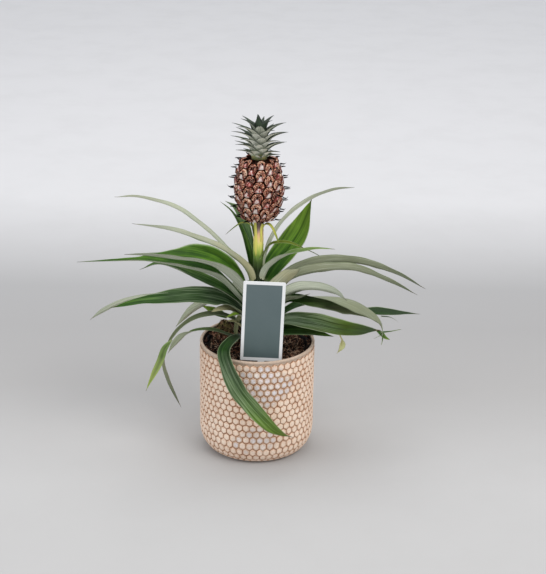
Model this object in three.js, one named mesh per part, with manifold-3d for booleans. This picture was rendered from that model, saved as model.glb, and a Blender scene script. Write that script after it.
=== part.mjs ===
// A pineapple plant in a honeycomb pot: rosette leaves on a short stem, a stalk with one small
// fruit and its crown, and a plain plant label. Millimetres, +Z up, origin under the pot's centre.
// +X is the plant's right and +Y its back, seen from the side where the label stands.
import * as THREE from "three";
import Module from "manifold-3d";

const wasm = await Module();
wasm.setup();

// Driving dimensions
const SEAT_GAP = 0.3; // between pieces that rest on or in each other

const POT_RADIUS = 70;
const POT_HEIGHT = 139;
const POT_WALL = 3.7;
const POT_FLOOR = 6;
const FOOT_RADIUS = 52;
const FOOT_ROUND_HEIGHT = 29;
const LIP_BAND = 4; // smooth band under the rim, above the honeycomb
const CELL_COLUMNS = 40;
const CELL_ROWS = 15;
const CELL_RELIEF = 1; // depth of the grooves between the honeycomb cells

const NURSERY_TOP_RADIUS = 64.4;
const NURSERY_BOTTOM_RADIUS = 45;
const NURSERY_RIM = 134;
const NURSERY_WALL = 1.2;

const SOIL_TOP = 126;
const SOIL_LUMP = 2.5;
const SOIL_SEED = 7;
const CLUMP_PLACE = [-40, 31]; // a mossy clump at the plant's left and back
const CLUMP_HEIGHT = 21;
const CLUMP_SPREAD = 190; // mm² by which the clump falls away

const STEM_FOOT = 106;
const TRUNK_RADIUS = 9.5;
const TRUNK_TOP = 196;
const STALK_RADIUS = 6;
const STALK_START = 212;
const STALK_TOP = 294.3;

const FRUIT_BOTTOM = STALK_TOP + SEAT_GAP;
const FRUIT_HEIGHT = 72.7;
const FRUIT_RADIUS = 26.4; // to the grooves between the eyes
const EYE_COLUMNS = 14;
const EYES_IN_A_COLUMN = 5;
const EYE_RELIEF = 2.2;
const EYE_SPINE = 6;
const EYE_TWIST = 0.8; // columns by which the eyes turn from foot to top

const CROWN_BOTTOM = FRUIT_BOTTOM + FRUIT_HEIGHT + SEAT_GAP;
const CROWN_HEIGHT = 51;
const CROWN_BLADES = 42;
const CROWN_BLADE_WIDTH = 11; // of the lowest, the top ones are wider
const CROWN_CORE_TOP = 28;
const CROWN_REACH = [[0, 25], [0.2, 31], [0.45, 34], [0.7, 34], [0.86, 30], [0.95, 19], [1, 6]];
const CROWN_RISE = [[0, 7], [0.25, 16], [0.5, 22], [0.75, 26], [1, 29]]; // root to tip
const CROWN_BEND = 0.12; // share of the rise left where a blade turns outward

const LABEL_WIDTH = 49.5;
const LABEL_HEIGHT = 101;
const LABEL_THICKNESS = 0.8;
const LABEL_CORNER = 1.5;
const LABEL_PLACE = new THREE.Vector3(4.5, -50, 132.5); // middle of the card's lower edge
const LABEL_TILT = 2; // degrees to the right at the top
const SPIKE_WIDTH = 8;
const SPIKE_LENGTH = 42;

const LEAF_THICKNESS = 0.8;
const LEAF_STEP = 17; // length of one stretch of leaf

// Leaves, lowest first: name, azimuth, fold of each half at the midrib, then the stations of
// the midrib: out from the stem, up from the foot, to the side, roll and width.
const LEAVES = [
  ["leaf_01", 238, 22, [[5, 136, 0, 0, 11], [30, 152, -2, 5, 16], [54, 155, 0, 10, 18],
    [73, 147, 2, 15, 21], [78, 118, 19, -6, 25], [73, 96, 32, -15, 25], [61, 61, 61, -37, 15],
    [28, 36, 71, -10, 1]]],
  ["leaf_02", 198, 20, [[5, 135, 0, 0, 8], [34, 147, 0, 0, 8], [59, 159, 2, -14, 8],
    [88, 155, 0, 11, 10], [102, 147, 3, 80, 13], [119, 135, 4, 20, 7], [129, 114, 4, -60, 9],
    [141, 90, 0, 0, 1]]],
  ["leaf_03", 345, 22, [[5, 141, 0, 0, 12], [32, 165, 0, 15, 22], [64, 168, 0, 30, 26],
    [100, 164, 0, 30, 26], [130, 164, 0, 20, 18], [152, 169, 0, 0, 2]]],
  ["leaf_04", 338, 24, [[5, 131, 0, 10, 11], [22, 149, 0, 10, 22], [42, 154, 0, 12, 26],
    [64, 157, 0, 12, 20], [98, 159, 0, 10, 1]]],
  ["leaf_05", 188, 22, [[5, 148, 0, 0, 9], [36, 170, 0, -15, 9], [60, 174, 0, -20, 9],
    [84, 166, 0, -20, 8], [104, 145, 0, -10, 7], [114, 118, 0, 30, 6], [108, 88, 0, 50, 6],
    [94, 52, 0, 50, 1]]],
  ["leaf_06", 160, 26, [[5, 150, 0, 20, 12], [36, 174, 0, 30, 14], [60, 178, 0, 40, 16],
    [86, 163, 0, 60, 12], [108, 138, 0, 60, 1]]],
  ["leaf_07", 220, 24, [[5, 150, 0, 0, 9], [28, 177, 0, 0, 12], [50, 180, 0, 0, 1]]],
  ["leaf_08", 5, 58, [[5, 158, 0, 10, 10], [33, 185, 0, 30, 17], [62, 192, 0, 92, 26],
    [92, 192, 0, 126, 34], [118, 186, 0, 146, 37], [140, 172, 0, 158, 24], [151, 159, 0, 165, 10],
    [154, 146, 0, 165, 1]]],
  ["leaf_09", 192, 26, [[5, 156, 0, -8, 13], [30, 184, 0, -10, 24], [50, 193, -7, -28, 25],
    [113, 197, -1, -27, 21], [147, 198, -6, -77, 10], [181, 193, -4, -116, 13],
    [202, 180, 0, -180, 1]]],
  ["leaf_10", 17, 24, [[5, 152, 0, 10, 9], [30, 168, 0, 10, 12], [60, 179, 0, 10, 15],
    [95, 173, 0, 12, 14], [130, 160, 0, 15, 14], [160, 156, 0, 25, 14], [184, 152, 0, 20, 10],
    [213, 148, 0, 0, 1]]],
  ["leaf_11", 340, 24, [[5, 166, 0, -20, 10], [34, 193, 0, -20, 17], [52, 200, 0, -20, 14],
    [66, 208, 0, -20, 1]]],
  ["leaf_12", 178, 28, [[5, 170, 0, -5, 12], [35, 196, 0, -10, 20], [75, 217, 0, -10, 22],
    [115, 233, 0, 0, 12], [142, 226, 0, 0, 1]]],
  ["leaf_13", 340, 26, [[5, 172, 0, -30, 11], [34, 201, 0, -50, 18], [60, 214, 0, -60, 19],
    [90, 215, 0, -60, 15], [112, 206, 0, -50, 3]]],
  ["leaf_14", 186, 34, [[5, 170, 0, 5, 13], [24, 194, 0, 5, 20], [52, 222, 0, 5, 26],
    [90, 235, 0, -5, 30], [125, 243, 0, -8, 22], [150, 245, 0, -8, 9], [214, 245, 0, 0, 1]]],
  ["leaf_15", 329, 24, [[5, 181, 0, -20, 11], [22, 207, 0, -40, 21], [40, 228, 0, -50, 20],
    [50, 236, 0, -50, 11], [58, 242, 0, -50, 1]]],
  ["leaf_16", 345, 30, [[5, 188, 0, -30, 11], [36, 219, 0, -50, 17], [72, 236, 0, -60, 18],
    [118, 242, 0, -60, 15], [160, 231, 0, -50, 10], [193, 219, 0, -40, 1]]],
  ["leaf_17", 203, 40, [[5, 180, 0, 0, 14], [16, 196, 0, -4, 28], [30, 216, 0, -13, 42],
    [52, 238, 0, -16, 48], [76, 250, 0, -15, 44], [105, 257, 0, -8, 26], [135, 265, 0, 20, 10],
    [166, 271, 0, 40, 1]]],
  ["leaf_18", 352, 30, [[5, 195, 0, -30, 11], [30, 219, 0, -50, 17], [62, 238, 0, -60, 20],
    [110, 246, 0, -60, 17], [160, 236, 0, -50, 11], [200, 218, 0, -40, 1]]],
  ["leaf_19", 203, 28, [[5, 198, 0, 20, 12], [14, 230, 0, 30, 15], [40, 257, 0, 40, 12],
    [76, 278, 0, 45, 11], [112, 294, 0, 45, 9], [156, 307, 0, 40, 1]]],
  ["leaf_20", 330, 30, [[5, 210, 0, -10, 11], [12, 230, 0, -20, 15], [24, 244, 0, -20, 15],
    [40, 256, 0, 5, 13], [56, 263, 0, 25, 9], [78, 271, 0, 25, 4], [102, 275, 0, 20, 1]]],
  ["leaf_21", 162, 28, [[5, 208, 0, 40, 9], [19, 232, 0, 50, 11], [43, 253, 0, 60, 9],
    [66, 272, 0, 65, 9], [102, 294, 0, 63, 9], [149, 303, 0, 54, 6], [184, 300, 0, 40, 1]]],
  ["leaf_22", 35, 20, [[5, 206, 0, 20, 12], [27, 232, 0, 25, 30], [47, 251, 0, 30, 33],
    [63, 271, 0, 30, 26], [78, 304, 0, 20, 1]]],
  ["leaf_23", 22, 28, [[6, 210, 0, 0, 8], [11, 250, 0, -30, 12], [31, 286, 0, -40, 13],
    [65, 309, 0, -45, 11], [96, 318, 0, -40, 8], [124, 319, 0, -30, 1]]],
  ["leaf_24", 130, 28, [[6, 208, 0, -10, 8], [14, 235, 0, -10, 9], [20, 252, 0, -10, 9.5],
    [30, 270, 0, -10, 6], [48, 288, 0, -15, 3], [72, 296, 0, -10, 1]]],
  ["leaf_25", 108, 28, [[5, 200, 0, 0, 9], [40, 252, 0, 0, 14], [80, 276, 0, 0, 12],
    [138, 272, 0, 0, 1]]],
  ["leaf_26", 20, 24, [[5, 141, 0, 0, 10], [45, 157, 0, 0, 12], [80, 149, 0, 0, 10],
    [103, 135, 0, 0, 7], [111, 124, 0, 0, 5], [113, 113, 0, -60, 8], [106, 104, 0, -60, 1]]],
  ["leaf_27", 80, 26, [[5, 150, 0, 0, 12], [40, 174, 0, 0, 20], [85, 171, 0, 0, 22],
    [125, 140, 0, 0, 16], [145, 95, 0, 0, 1]]],
  ["leaf_28", 102, 26, [[5, 164, 0, 0, 12], [45, 184, 0, 0, 22], [92, 176, 0, 0, 23],
    [130, 142, 0, 0, 16], [150, 98, 0, 0, 1]]],
  ["leaf_29", 130, 24, [[5, 142, 0, 0, 11], [24, 156, 0, 0, 14], [45, 168, 0, 0, 17],
    [68, 172, 0, 0, 17], [100, 163, 0, 0, 13], [126, 152, 0, 0, 1]]],
];

// Small leaves that grow from the stalk, with stations as above
const BRACTS = [
  [355, 24, [[2, 242, -3, 0, 5], [13, 261, -3, 0, 6], [23, 265, -2, 0, 6], [45, 262, 0, 0, 4],
    [67, 253, 0, 0, 3], [83, 244, 0, 0, 1]]],
  [190, 24, [[2, 272, 0, 0, 5], [9, 284, 0, 0, 7], [20, 287, 0, 0, 6], [38, 277, 0, 0, 1]]],
  [335, 24, [[2, 274, 0, 0, 5], [9, 286, 0, 0, 7], [17, 284, 0, 0, 5], [24, 268, 0, 0, 1]]],
  [215, 20, [[2, 252, 0, 0, 5], [9, 268, 0, 0, 6], [12, 286, 0, 0, 1]]],
  [80, 24, [[2, 270, 0, 0, 5], [9, 282, 0, 0, 7], [22, 288, 0, 0, 5], [36, 280, 0, 0, 1]]],
];

const COLOURS = {
  pot: [0.78, 0.6, 0.49],
  nursery: [0.03, 0.03, 0.035],
  soil: [0.09, 0.055, 0.04],
  stem: [0.62, 0.66, 0.36],
  leafDeep: [0.13, 0.27, 0.1],
  leafSilver: [0.45, 0.5, 0.38],
  fruit: [0.42, 0.16, 0.14],
  crown: [0.42, 0.5, 0.4],
  label: [0.25, 0.32, 0.33],
};
const SILVER_LEAVES = [
  "leaf_06", "leaf_11", "leaf_13", "leaf_15", "leaf_16", "leaf_18", "leaf_19", "leaf_21", "leaf_23",
];

const TURN = 2 * Math.PI;
const radians = THREE.MathUtils.degToRad;
const plant = new THREE.Group();

// A closed skin of triangles. Points that fall together are shared.
class Skin {
  constructor() {
    this.points = [];
    this.faces = [];
    this.known = new Map();
  }

  point(p) {
    const key = [p.x, p.y, p.z].map((v) => Math.round(v * 1000)).join(",");
    if (!this.known.has(key)) {
      this.known.set(key, this.points.length);
      this.points.push(p.clone());
    }
    return this.known.get(key);
  }

  face(a, b, c) {
    if (a !== b && b !== c && c !== a) this.faces.push([a, b, c]);
  }

  quad(a, b, c, d) {
    this.face(a, b, c);
    this.face(a, c, d);
  }

  // Joins two rings of equal length, the first one below or inside the second
  bridge(first, second) {
    first.forEach((a, i) => {
      const j = (i + 1) % first.length;
      this.quad(a, first[j], second[j], second[i]);
    });
  }

  fan(ring, p) {
    const tip = this.point(p);
    ring.forEach((a, i) => this.face(a, ring[(i + 1) % ring.length], tip));
  }

  solid() {
    const flat = this.points.flatMap((p) => [p.x, p.y, p.z]);
    const volume = this.faces.reduce((sum, [a, b, c]) => {
      const cross = this.points[b].clone().cross(this.points[c]);
      return sum + this.points[a].dot(cross);
    }, 0);
    const faces = volume > 0 ? this.faces : this.faces.map(([a, b, c]) => [a, c, b]);
    return new wasm.Manifold(new wasm.Mesh({
      numProp: 3,
      vertProperties: Float32Array.from(flat),
      triVerts: Uint32Array.from(faces.flat()),
    }));
  }
}

function geometryOf(solid) {
  const mesh = solid.getMesh();
  const geometry = new THREE.BufferGeometry();
  geometry.setAttribute("position", new THREE.BufferAttribute(mesh.vertProperties, 3));
  geometry.setIndex(new THREE.BufferAttribute(mesh.triVerts, 1));
  geometry.computeVertexNormals();
  return geometry;
}

// The body with the largest volume, where a cut has left a loose scrap
function mainBody(solid) {
  return solid.decompose().sort((a, b) => b.volume() - a.volume())[0];
}

function addPiece(name, solid, [r, g, b], roughness) {
  const material = new THREE.MeshStandardMaterial({ roughness, metalness: 0 });
  material.color.setRGB(r, g, b);
  const mesh = new THREE.Mesh(geometryOf(solid), material);
  mesh.name = name;
  plant.add(mesh);
}

function seededRandom(seed) {
  let state = seed;
  return () => {
    state = (state * 1664525 + 1013904223) % 4294967296;
    return state / 4294967296;
  };
}

function polar(radius, angle, z) {
  return new THREE.Vector3(radius * Math.cos(angle), radius * Math.sin(angle), z);
}

function ringOf(skin, radius, z, angles) {
  return angles.map((angle) => skin.point(polar(radius, angle, z)));
}

function evenAngles(count) {
  return Array.from({ length: count }, (_, i) => (i / count) * TURN);
}

// A turned solid from a profile of [radius, height] pairs that starts and ends on the axis
function turned(profile, sides) {
  const skin = new Skin();
  const rings = profile.slice(1, -1).map(([radius, z]) => ringOf(skin, radius, z, evenAngles(sides)));
  rings.slice(1).forEach((ring, i) => skin.bridge(rings[i], ring));
  skin.fan([...rings[0]].reverse(), new THREE.Vector3(0, 0, profile[0][1]));
  skin.fan(rings.at(-1), new THREE.Vector3(0, 0, profile.at(-1)[1]));
  return skin.solid();
}

// Outer wall of the pot without its relief: [radius, height] at a share of the way up
function potWall(share) {
  const arc = (Math.PI / 2) * Math.sqrt(((POT_RADIUS - FOOT_RADIUS) ** 2 + FOOT_ROUND_HEIGHT ** 2) / 2);
  const straight = POT_HEIGHT - LIP_BAND - FOOT_ROUND_HEIGHT;
  const way = share * (arc + straight);
  if (way >= arc) return [POT_RADIUS, FOOT_ROUND_HEIGHT + way - arc];
  const turn = (way / arc) * (Math.PI / 2);
  const radius = FOOT_RADIUS + (POT_RADIUS - FOOT_RADIUS) * Math.sin(turn);
  return [radius, FOOT_ROUND_HEIGHT * (1 - Math.cos(turn))];
}

// Moved in from the wall by a depth, more upward than inward near the foot
function potRelief(share, depth) {
  const [radius, z] = potWall(share);
  const under = Math.max(0, 1 - z / FOOT_ROUND_HEIGHT);
  return [radius - depth * (1 - under / 3), z + (depth * under) / 2];
}

// Raised pointy hexagons in staggered rows. The grooves between them are the low places.
function makePot() {
  const skin = new Skin();
  const pitch = TURN / CELL_COLUMNS;
  const rise = 1 / (CELL_ROWS + 1 / 3);
  const place = (column, way, depth) => {
    const [radius, z] = potRelief(way * rise, depth);
    return skin.point(polar(radius, column * pitch, z));
  };
  for (let row = 0; row < CELL_ROWS; row += 1) {
    for (let i = 0; i < CELL_COLUMNS; i += 1) {
      const column = i + (row % 2) / 2;
      const middle = row + 2 / 3;
      const corners = [[0, -2 / 3], [0.5, -1 / 3], [0.5, 1 / 3], [0, 2 / 3], [-0.5, 1 / 3], [-0.5, -1 / 3]]
        .map(([side, up]) => place(column + side, middle + up, CELL_RELIEF));
      const top = place(column, middle, 0);
      corners.forEach((corner, k) => skin.face(corner, corners[(k + 1) % 6], top));
    }
  }
  const angles = evenAngles(2 * CELL_COLUMNS);
  const lastShift = (CELL_ROWS - 1) % 2;
  const edge = (way, up) => angles.map((_, k) => place(k / 2, way + up(k), CELL_RELIEF));
  const low = edge(0, (k) => (k % 2 === 0 ? 0 : 1 / 3));
  const high = edge(CELL_ROWS, (k) => ((k + lastShift) % 2 === 0 ? 1 / 3 : 0));
  const inner = POT_RADIUS - POT_WALL;
  const innerRound = FOOT_RADIUS - POT_WALL;
  const rings = [
    [POT_RADIUS - 0.4, POT_HEIGHT - LIP_BAND + 0.8],
    [POT_RADIUS, POT_HEIGHT - 0.8],
    [POT_RADIUS - 0.8, POT_HEIGHT],
    [inner + 0.8, POT_HEIGHT],
    [inner, POT_HEIGHT - 0.8],
    [inner, FOOT_ROUND_HEIGHT],
    [innerRound, POT_FLOOR],
  ].map(([radius, z]) => ringOf(skin, radius, z, angles));
  skin.bridge(high, rings[0]);
  rings.slice(1).forEach((ring, i) => skin.bridge(rings[i], ring));
  skin.fan(rings.at(-1), new THREE.Vector3(0, 0, POT_FLOOR));
  const foot = ringOf(skin, FOOT_RADIUS - 2, 0, angles);
  skin.bridge(foot, low);
  skin.fan([...foot].reverse(), new THREE.Vector3(0, 0, 0));
  return skin.solid();
}

function nurseryRadius(z) {
  const share = (z - POT_FLOOR) / (NURSERY_RIM - POT_FLOOR);
  return THREE.MathUtils.lerp(NURSERY_BOTTOM_RADIUS, NURSERY_TOP_RADIUS, share);
}

// Thin black growing pot with a small rolled rim
function makeNurseryPot() {
  const floor = POT_FLOOR + SEAT_GAP;
  const rimLow = NURSERY_RIM - 5;
  return turned([
    [0, floor],
    [NURSERY_BOTTOM_RADIUS, floor],
    [nurseryRadius(rimLow) - 1, rimLow],
    [NURSERY_TOP_RADIUS, rimLow + 1],
    [NURSERY_TOP_RADIUS, NURSERY_RIM],
    [NURSERY_TOP_RADIUS - NURSERY_WALL - 1, NURSERY_RIM],
    [nurseryRadius(rimLow) - 1 - NURSERY_WALL, rimLow - 1],
    [NURSERY_BOTTOM_RADIUS - NURSERY_WALL, floor + NURSERY_WALL],
    [0, floor + NURSERY_WALL],
  ], 32);
}

// Height of the soil: lumps all over, a low shoulder at the stem, and the clump
function soilHeight(x, y, random) {
  const [clumpX, clumpY] = CLUMP_PLACE;
  const clump = CLUMP_HEIGHT * Math.exp(-((x - clumpX) ** 2 + (y - clumpY) ** 2) / CLUMP_SPREAD);
  const shoulder = 5 * Math.exp(-(x * x + y * y) / 500);
  return SOIL_TOP + clump + shoulder + (random() - 0.5) * SOIL_LUMP;
}

function makeSoil() {
  const skin = new Skin();
  const random = seededRandom(SOIL_SEED);
  const angles = evenAngles(28);
  const hole = TRUNK_RADIUS + SEAT_GAP;
  const inside = (z) => nurseryRadius(z) - 1 - NURSERY_WALL - 2 * SEAT_GAP;
  const low = POT_FLOOR + NURSERY_WALL + 2 * SEAT_GAP;
  const bottom = ringOf(skin, NURSERY_BOTTOM_RADIUS - NURSERY_WALL - SEAT_GAP, low, angles);
  const wall = ringOf(skin, inside(SOIL_TOP - 6), SOIL_TOP - 6, angles);
  const radii = [inside(SOIL_TOP - 1), 54, 44, 34, 24, 16, hole];
  const tops = radii.map((radius) => angles.map((angle) => {
    const p = polar(radius, angle, 0);
    const z = radius === hole ? SOIL_TOP + 4 : soilHeight(p.x, p.y, random);
    p.z = radius === radii[0] ? SOIL_TOP - 1 : z;
    return skin.point(p);
  }));
  const holeFoot = ringOf(skin, hole, STEM_FOOT - SEAT_GAP, angles);
  const rings = [bottom, wall, ...tops, holeFoot];
  rings.slice(1).forEach((ring, i) => skin.bridge(rings[i], ring));
  skin.fan(holeFoot, new THREE.Vector3(0, 0, STEM_FOOT - SEAT_GAP));
  skin.fan([...bottom].reverse(), new THREE.Vector3(0, 0, low));
  return mainBody(skin.solid().subtract(makeLabel(SEAT_GAP)));
}

// Blade with a folded midrib. Growth widens and thickens it evenly, to cut room for it.
function bladeSolid(azimuth, fold, stations, growth = 0) {
  const out = polar(1, radians(azimuth), 0);
  const side = new THREE.Vector3(-out.y, out.x, 0);
  const middles = stations.map(([r, z, s]) => out.clone().multiplyScalar(r).addScaledVector(side, s).setZ(z));
  const traits = stations.map(([, , , roll, width]) => new THREE.Vector3(radians(roll), width, 0));
  const line = new THREE.CatmullRomCurve3(middles, false, "catmullrom", 0.5);
  const trait = new THREE.CatmullRomCurve3(traits, false, "catmullrom", 0.5);
  const steps = THREE.MathUtils.clamp(Math.round(line.getLength() / LEAF_STEP), 6, 15);
  const skin = new Skin();
  const tilt = radians(fold);
  const offset = (LEAF_THICKNESS / 2 + growth) / Math.cos(tilt);
  const sections = Array.from({ length: steps + 1 }, (_, i) => {
    const share = i / steps;
    const middle = line.getPoint(share);
    const along = line.getTangent(share);
    if (i === 0) middle.addScaledVector(along, -growth);
    if (i === steps) middle.addScaledVector(along, growth);
    const level = side.clone().addScaledVector(along, -side.dot(along)).normalize();
    const over = along.clone().cross(level);
    const { x: roll, y: width } = trait.getPoint(share);
    const across = level.clone().multiplyScalar(Math.cos(roll)).addScaledVector(over, Math.sin(roll));
    const normal = over.clone().multiplyScalar(Math.cos(roll)).addScaledVector(level, -Math.sin(roll));
    const half = Math.max(width / 2, 0.5) + growth;
    return [1, -1].map((face) => [-1, 0, 1].map((place) => skin.point(middle.clone()
      .addScaledVector(across, place * half * Math.cos(tilt))
      .addScaledVector(normal, Math.abs(place) * half * Math.sin(tilt) + face * offset))));
  });
  sections.slice(1).forEach(([top, under], i) => {
    const [lastTop, lastUnder] = sections[i];
    for (let k = 0; k < 2; k += 1) {
      skin.quad(lastTop[k], top[k], top[k + 1], lastTop[k + 1]);
      skin.face(lastUnder[k], under[k + 1], under[k]);
      skin.face(lastUnder[k], lastUnder[k + 1], under[k + 1]);
    }
    skin.quad(lastUnder[0], under[0], top[0], lastTop[0]);
    skin.quad(lastTop[2], top[2], under[2], lastUnder[2]);
  });
  const close = ([top, under], flip) => {
    for (let k = 0; k < 2; k += 1) {
      const corners = [top[k], top[k + 1], under[k + 1], under[k]];
      skin.quad(...(flip ? corners : corners.reverse()));
    }
  };
  close(sections[0], true);
  close(sections.at(-1), false);
  return skin.solid();
}

// Trunk and stalk without bracts, widened by a growth
function stemCore(growth) {
  return turned([
    [0, STEM_FOOT - growth],
    [TRUNK_RADIUS - 1 + growth, STEM_FOOT - growth],
    [TRUNK_RADIUS + growth, STEM_FOOT + 8],
    [TRUNK_RADIUS + growth, TRUNK_TOP],
    [STALK_RADIUS + 0.8 + growth, STALK_START],
    [STALK_RADIUS + growth, STALK_START + 20],
    [STALK_RADIUS - 0.5 + growth, STALK_TOP - 8],
    [STALK_RADIUS + 1.5 + growth, STALK_TOP],
    [0, STALK_TOP],
  ], 14);
}

function makeStem() {
  const bracts = BRACTS.map(([azimuth, fold, stations]) => bladeSolid(azimuth, fold, stations));
  return bracts.reduce((stem, bract) => stem.add(bract), stemCore(0));
}

// Barrel of the fruit: radius at a share of its height
function fruitRadius(share) {
  const belly = Math.sin(Math.PI * (0.13 + 0.69 * share));
  return FRUIT_RADIUS * Math.pow(belly, 0.55) * (1.03 - 0.06 * share);
}

function fruitPoint(column, share, proud, lift) {
  const radius = fruitRadius(share) + proud;
  const angle = ((column + EYE_TWIST * share) / EYE_COLUMNS) * TURN;
  return polar(radius, angle, FRUIT_BOTTOM + share * FRUIT_HEIGHT + lift);
}

// Eyes in staggered columns: a domed hexagon each, with a small hooked spine on it
function makeFruit() {
  const skin = new Skin();
  const height = 1 / (EYES_IN_A_COLUMN + 0.5);
  const outline = [[-2 / 3, 0], [-1 / 3, -0.5], [1 / 3, -0.5], [2 / 3, 0], [1 / 3, 0.5], [-1 / 3, 0.5]];
  const eyeRing = (column, middle, scale, proud) => outline.map(([across, up]) => {
    const share = middle + up * scale * height;
    return skin.point(fruitPoint(column + across * scale, share, proud, 0));
  });
  for (let column = 0; column < EYE_COLUMNS; column += 1) {
    for (let k = 0; k < EYES_IN_A_COLUMN; k += 1) {
      const middle = (k + 0.5 + (column % 2) / 2) * height;
      const groove = eyeRing(column, middle, 1, 0);
      const dome = eyeRing(column, middle, 0.66, EYE_RELIEF);
      const root = eyeRing(column, middle, 0.17, EYE_RELIEF + 0.5);
      skin.bridge(groove, dome);
      skin.bridge(dome, root);
      skin.fan(root, fruitPoint(column, middle, EYE_RELIEF + EYE_SPINE, 1.5));
    }
  }
  const border = (share, lift) => Array.from({ length: 2 * EYE_COLUMNS }, (_, i) => {
    const column = Math.floor(i / 2);
    const across = i % 2 === 0 ? -1 / 3 : 1 / 3;
    return skin.point(fruitPoint(column + across, share + ((column % 2) / 2) * height, 0, lift));
  });
  const ends = [border(0, 0).reverse(), border(EYES_IN_A_COLUMN * height, 0)];
  skin.fan(ends[0], new THREE.Vector3(0, 0, FRUIT_BOTTOM));
  skin.fan(ends[1], new THREE.Vector3(0, 0, FRUIT_BOTTOM + FRUIT_HEIGHT));
  return skin.solid();
}

// A value at a share, from pairs of [share, value]
function between(pairs, share) {
  const next = Math.max(1, pairs.findIndex(([s]) => s >= share));
  const [[s0, v0], [s1, v1]] = pairs.slice(next - 1, next + 1);
  return THREE.MathUtils.mapLinear(share, s0, s1, v0, v1);
}

// One crown blade: three-sided, broad at the root and drawn out to a point, along a curve
// through [out, up] pairs
function crownBlade(angle, pairs, width) {
  const out = polar(1, angle, 0);
  const side = new THREE.Vector3(-out.y, out.x, 0);
  const line = new THREE.CubicBezierCurve3(...pairs.map(([r, z]) => out.clone().multiplyScalar(r).setZ(z)));
  const skin = new Skin();
  const shares = [0, 0.3, 0.65, 1];
  const widths = [0.85, 1, 0.5, 0.1];
  const rings = shares.map((share, i) => {
    const middle = line.getPoint(share);
    const normal = side.clone().cross(line.getTangent(share)).multiplyScalar(-1);
    const half = (width * widths[i]) / 2;
    return [
      middle.clone().addScaledVector(side, half).addScaledVector(normal, 0.2 * half),
      middle.clone().addScaledVector(side, -half).addScaledVector(normal, 0.2 * half),
      middle.clone().addScaledVector(normal, -0.7 - 0.15 * half),
    ].map((p) => skin.point(p));
  });
  rings.slice(1).forEach((ring, i) => skin.bridge(rings[i], ring));
  skin.face(...[...rings[0]].reverse());
  skin.face(...rings.at(-1));
  return skin.solid();
}

// Crown blades in a spiral. The low ones are level, the top ones short, broad and upright.
function makeCrown() {
  const golden = Math.PI * (3 - Math.sqrt(5));
  const core = turned([
    [0, CROWN_BOTTOM],
    [9, CROWN_BOTTOM],
    [9, CROWN_BOTTOM + 5],
    [6, CROWN_BOTTOM + 16],
    [0, CROWN_BOTTOM + CROWN_CORE_TOP],
  ], 10);
  const shares = Array.from({ length: CROWN_BLADES }, (_, i) => i / (CROWN_BLADES - 1));
  const lowest = CROWN_BOTTOM + 5;
  const whole = shares.reduce((crown, share, i) => {
    const tip = THREE.MathUtils.lerp(lowest, CROWN_BOTTOM + CROWN_HEIGHT - 0.3, share ** 0.85);
    const root = Math.max(tip - between(CROWN_RISE, share), CROWN_BOTTOM + 2);
    const rise = tip - root;
    const reach = between(CROWN_REACH, share);
    const hug = 8 - 6 * share;
    const pairs = [
      [hug, root],
      [hug + 0.14 * reach, root + 0.7 * rise],
      [0.55 * reach, tip - CROWN_BEND * rise],
      [reach, tip],
    ];
    return crown.add(crownBlade(i * golden, pairs, CROWN_BLADE_WIDTH + 2 * share));
  }, core);
  return mainBody(whole);
}

// Card and spike in one flat piece, leaning a little to the right
function makeLabel(growth = 0) {
  const half = LABEL_WIDTH / 2 + growth;
  const spike = SPIKE_WIDTH / 2 + growth;
  const corner = LABEL_CORNER;
  const shape = new THREE.Shape();
  shape.moveTo(-half, corner);
  shape.lineTo(-half, LABEL_HEIGHT - corner);
  shape.quadraticCurveTo(-half, LABEL_HEIGHT, corner - half, LABEL_HEIGHT);
  shape.lineTo(half - corner, LABEL_HEIGHT);
  shape.quadraticCurveTo(half, LABEL_HEIGHT, half, LABEL_HEIGHT - corner);
  shape.lineTo(half, corner);
  shape.quadraticCurveTo(half, -growth, half - corner, -growth);
  shape.lineTo(spike, -growth);
  shape.lineTo(spike, -SPIKE_LENGTH * 0.7);
  shape.lineTo(growth + 1, -SPIKE_LENGTH - growth);
  shape.lineTo(-growth - 1, -SPIKE_LENGTH - growth);
  shape.lineTo(-spike, -SPIKE_LENGTH * 0.7);
  shape.lineTo(-spike, -growth);
  shape.lineTo(corner - half, -growth);
  shape.quadraticCurveTo(-half, -growth, -half, corner);
  const depth = LABEL_THICKNESS + 2 * growth;
  const card = new THREE.ExtrudeGeometry(shape, { depth, bevelEnabled: false, curveSegments: 3 });
  card.translate(0, 0, -depth / 2);
  card.rotateX(Math.PI / 2);
  card.rotateY(radians(LABEL_TILT));
  card.translate(LABEL_PLACE.x, LABEL_PLACE.y, LABEL_PLACE.z);
  return solidOf(card);
}

function solidOf(geometry) {
  const place = geometry.getAttribute("position");
  const skin = new Skin();
  const p = new THREE.Vector3();
  for (let i = 0; i < place.count; i += 3) {
    skin.face(...[0, 1, 2].map((k) => skin.point(p.fromBufferAttribute(place, i + k))));
  }
  return skin.solid();
}

// Each leaf is cut back round the stem and round the leaf bases below it
function makeLeaves() {
  const core = stemCore(SEAT_GAP);
  const lower = [];
  return LEAVES.map(([name, azimuth, fold, stations]) => {
    const room = lower.reduce((sum, blade) => sum.add(blade), core);
    const leaf = mainBody(bladeSolid(azimuth, fold, stations).subtract(room));
    lower.push(bladeSolid(azimuth, fold, stations, SEAT_GAP));
    return [name, leaf];
  });
}

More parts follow.
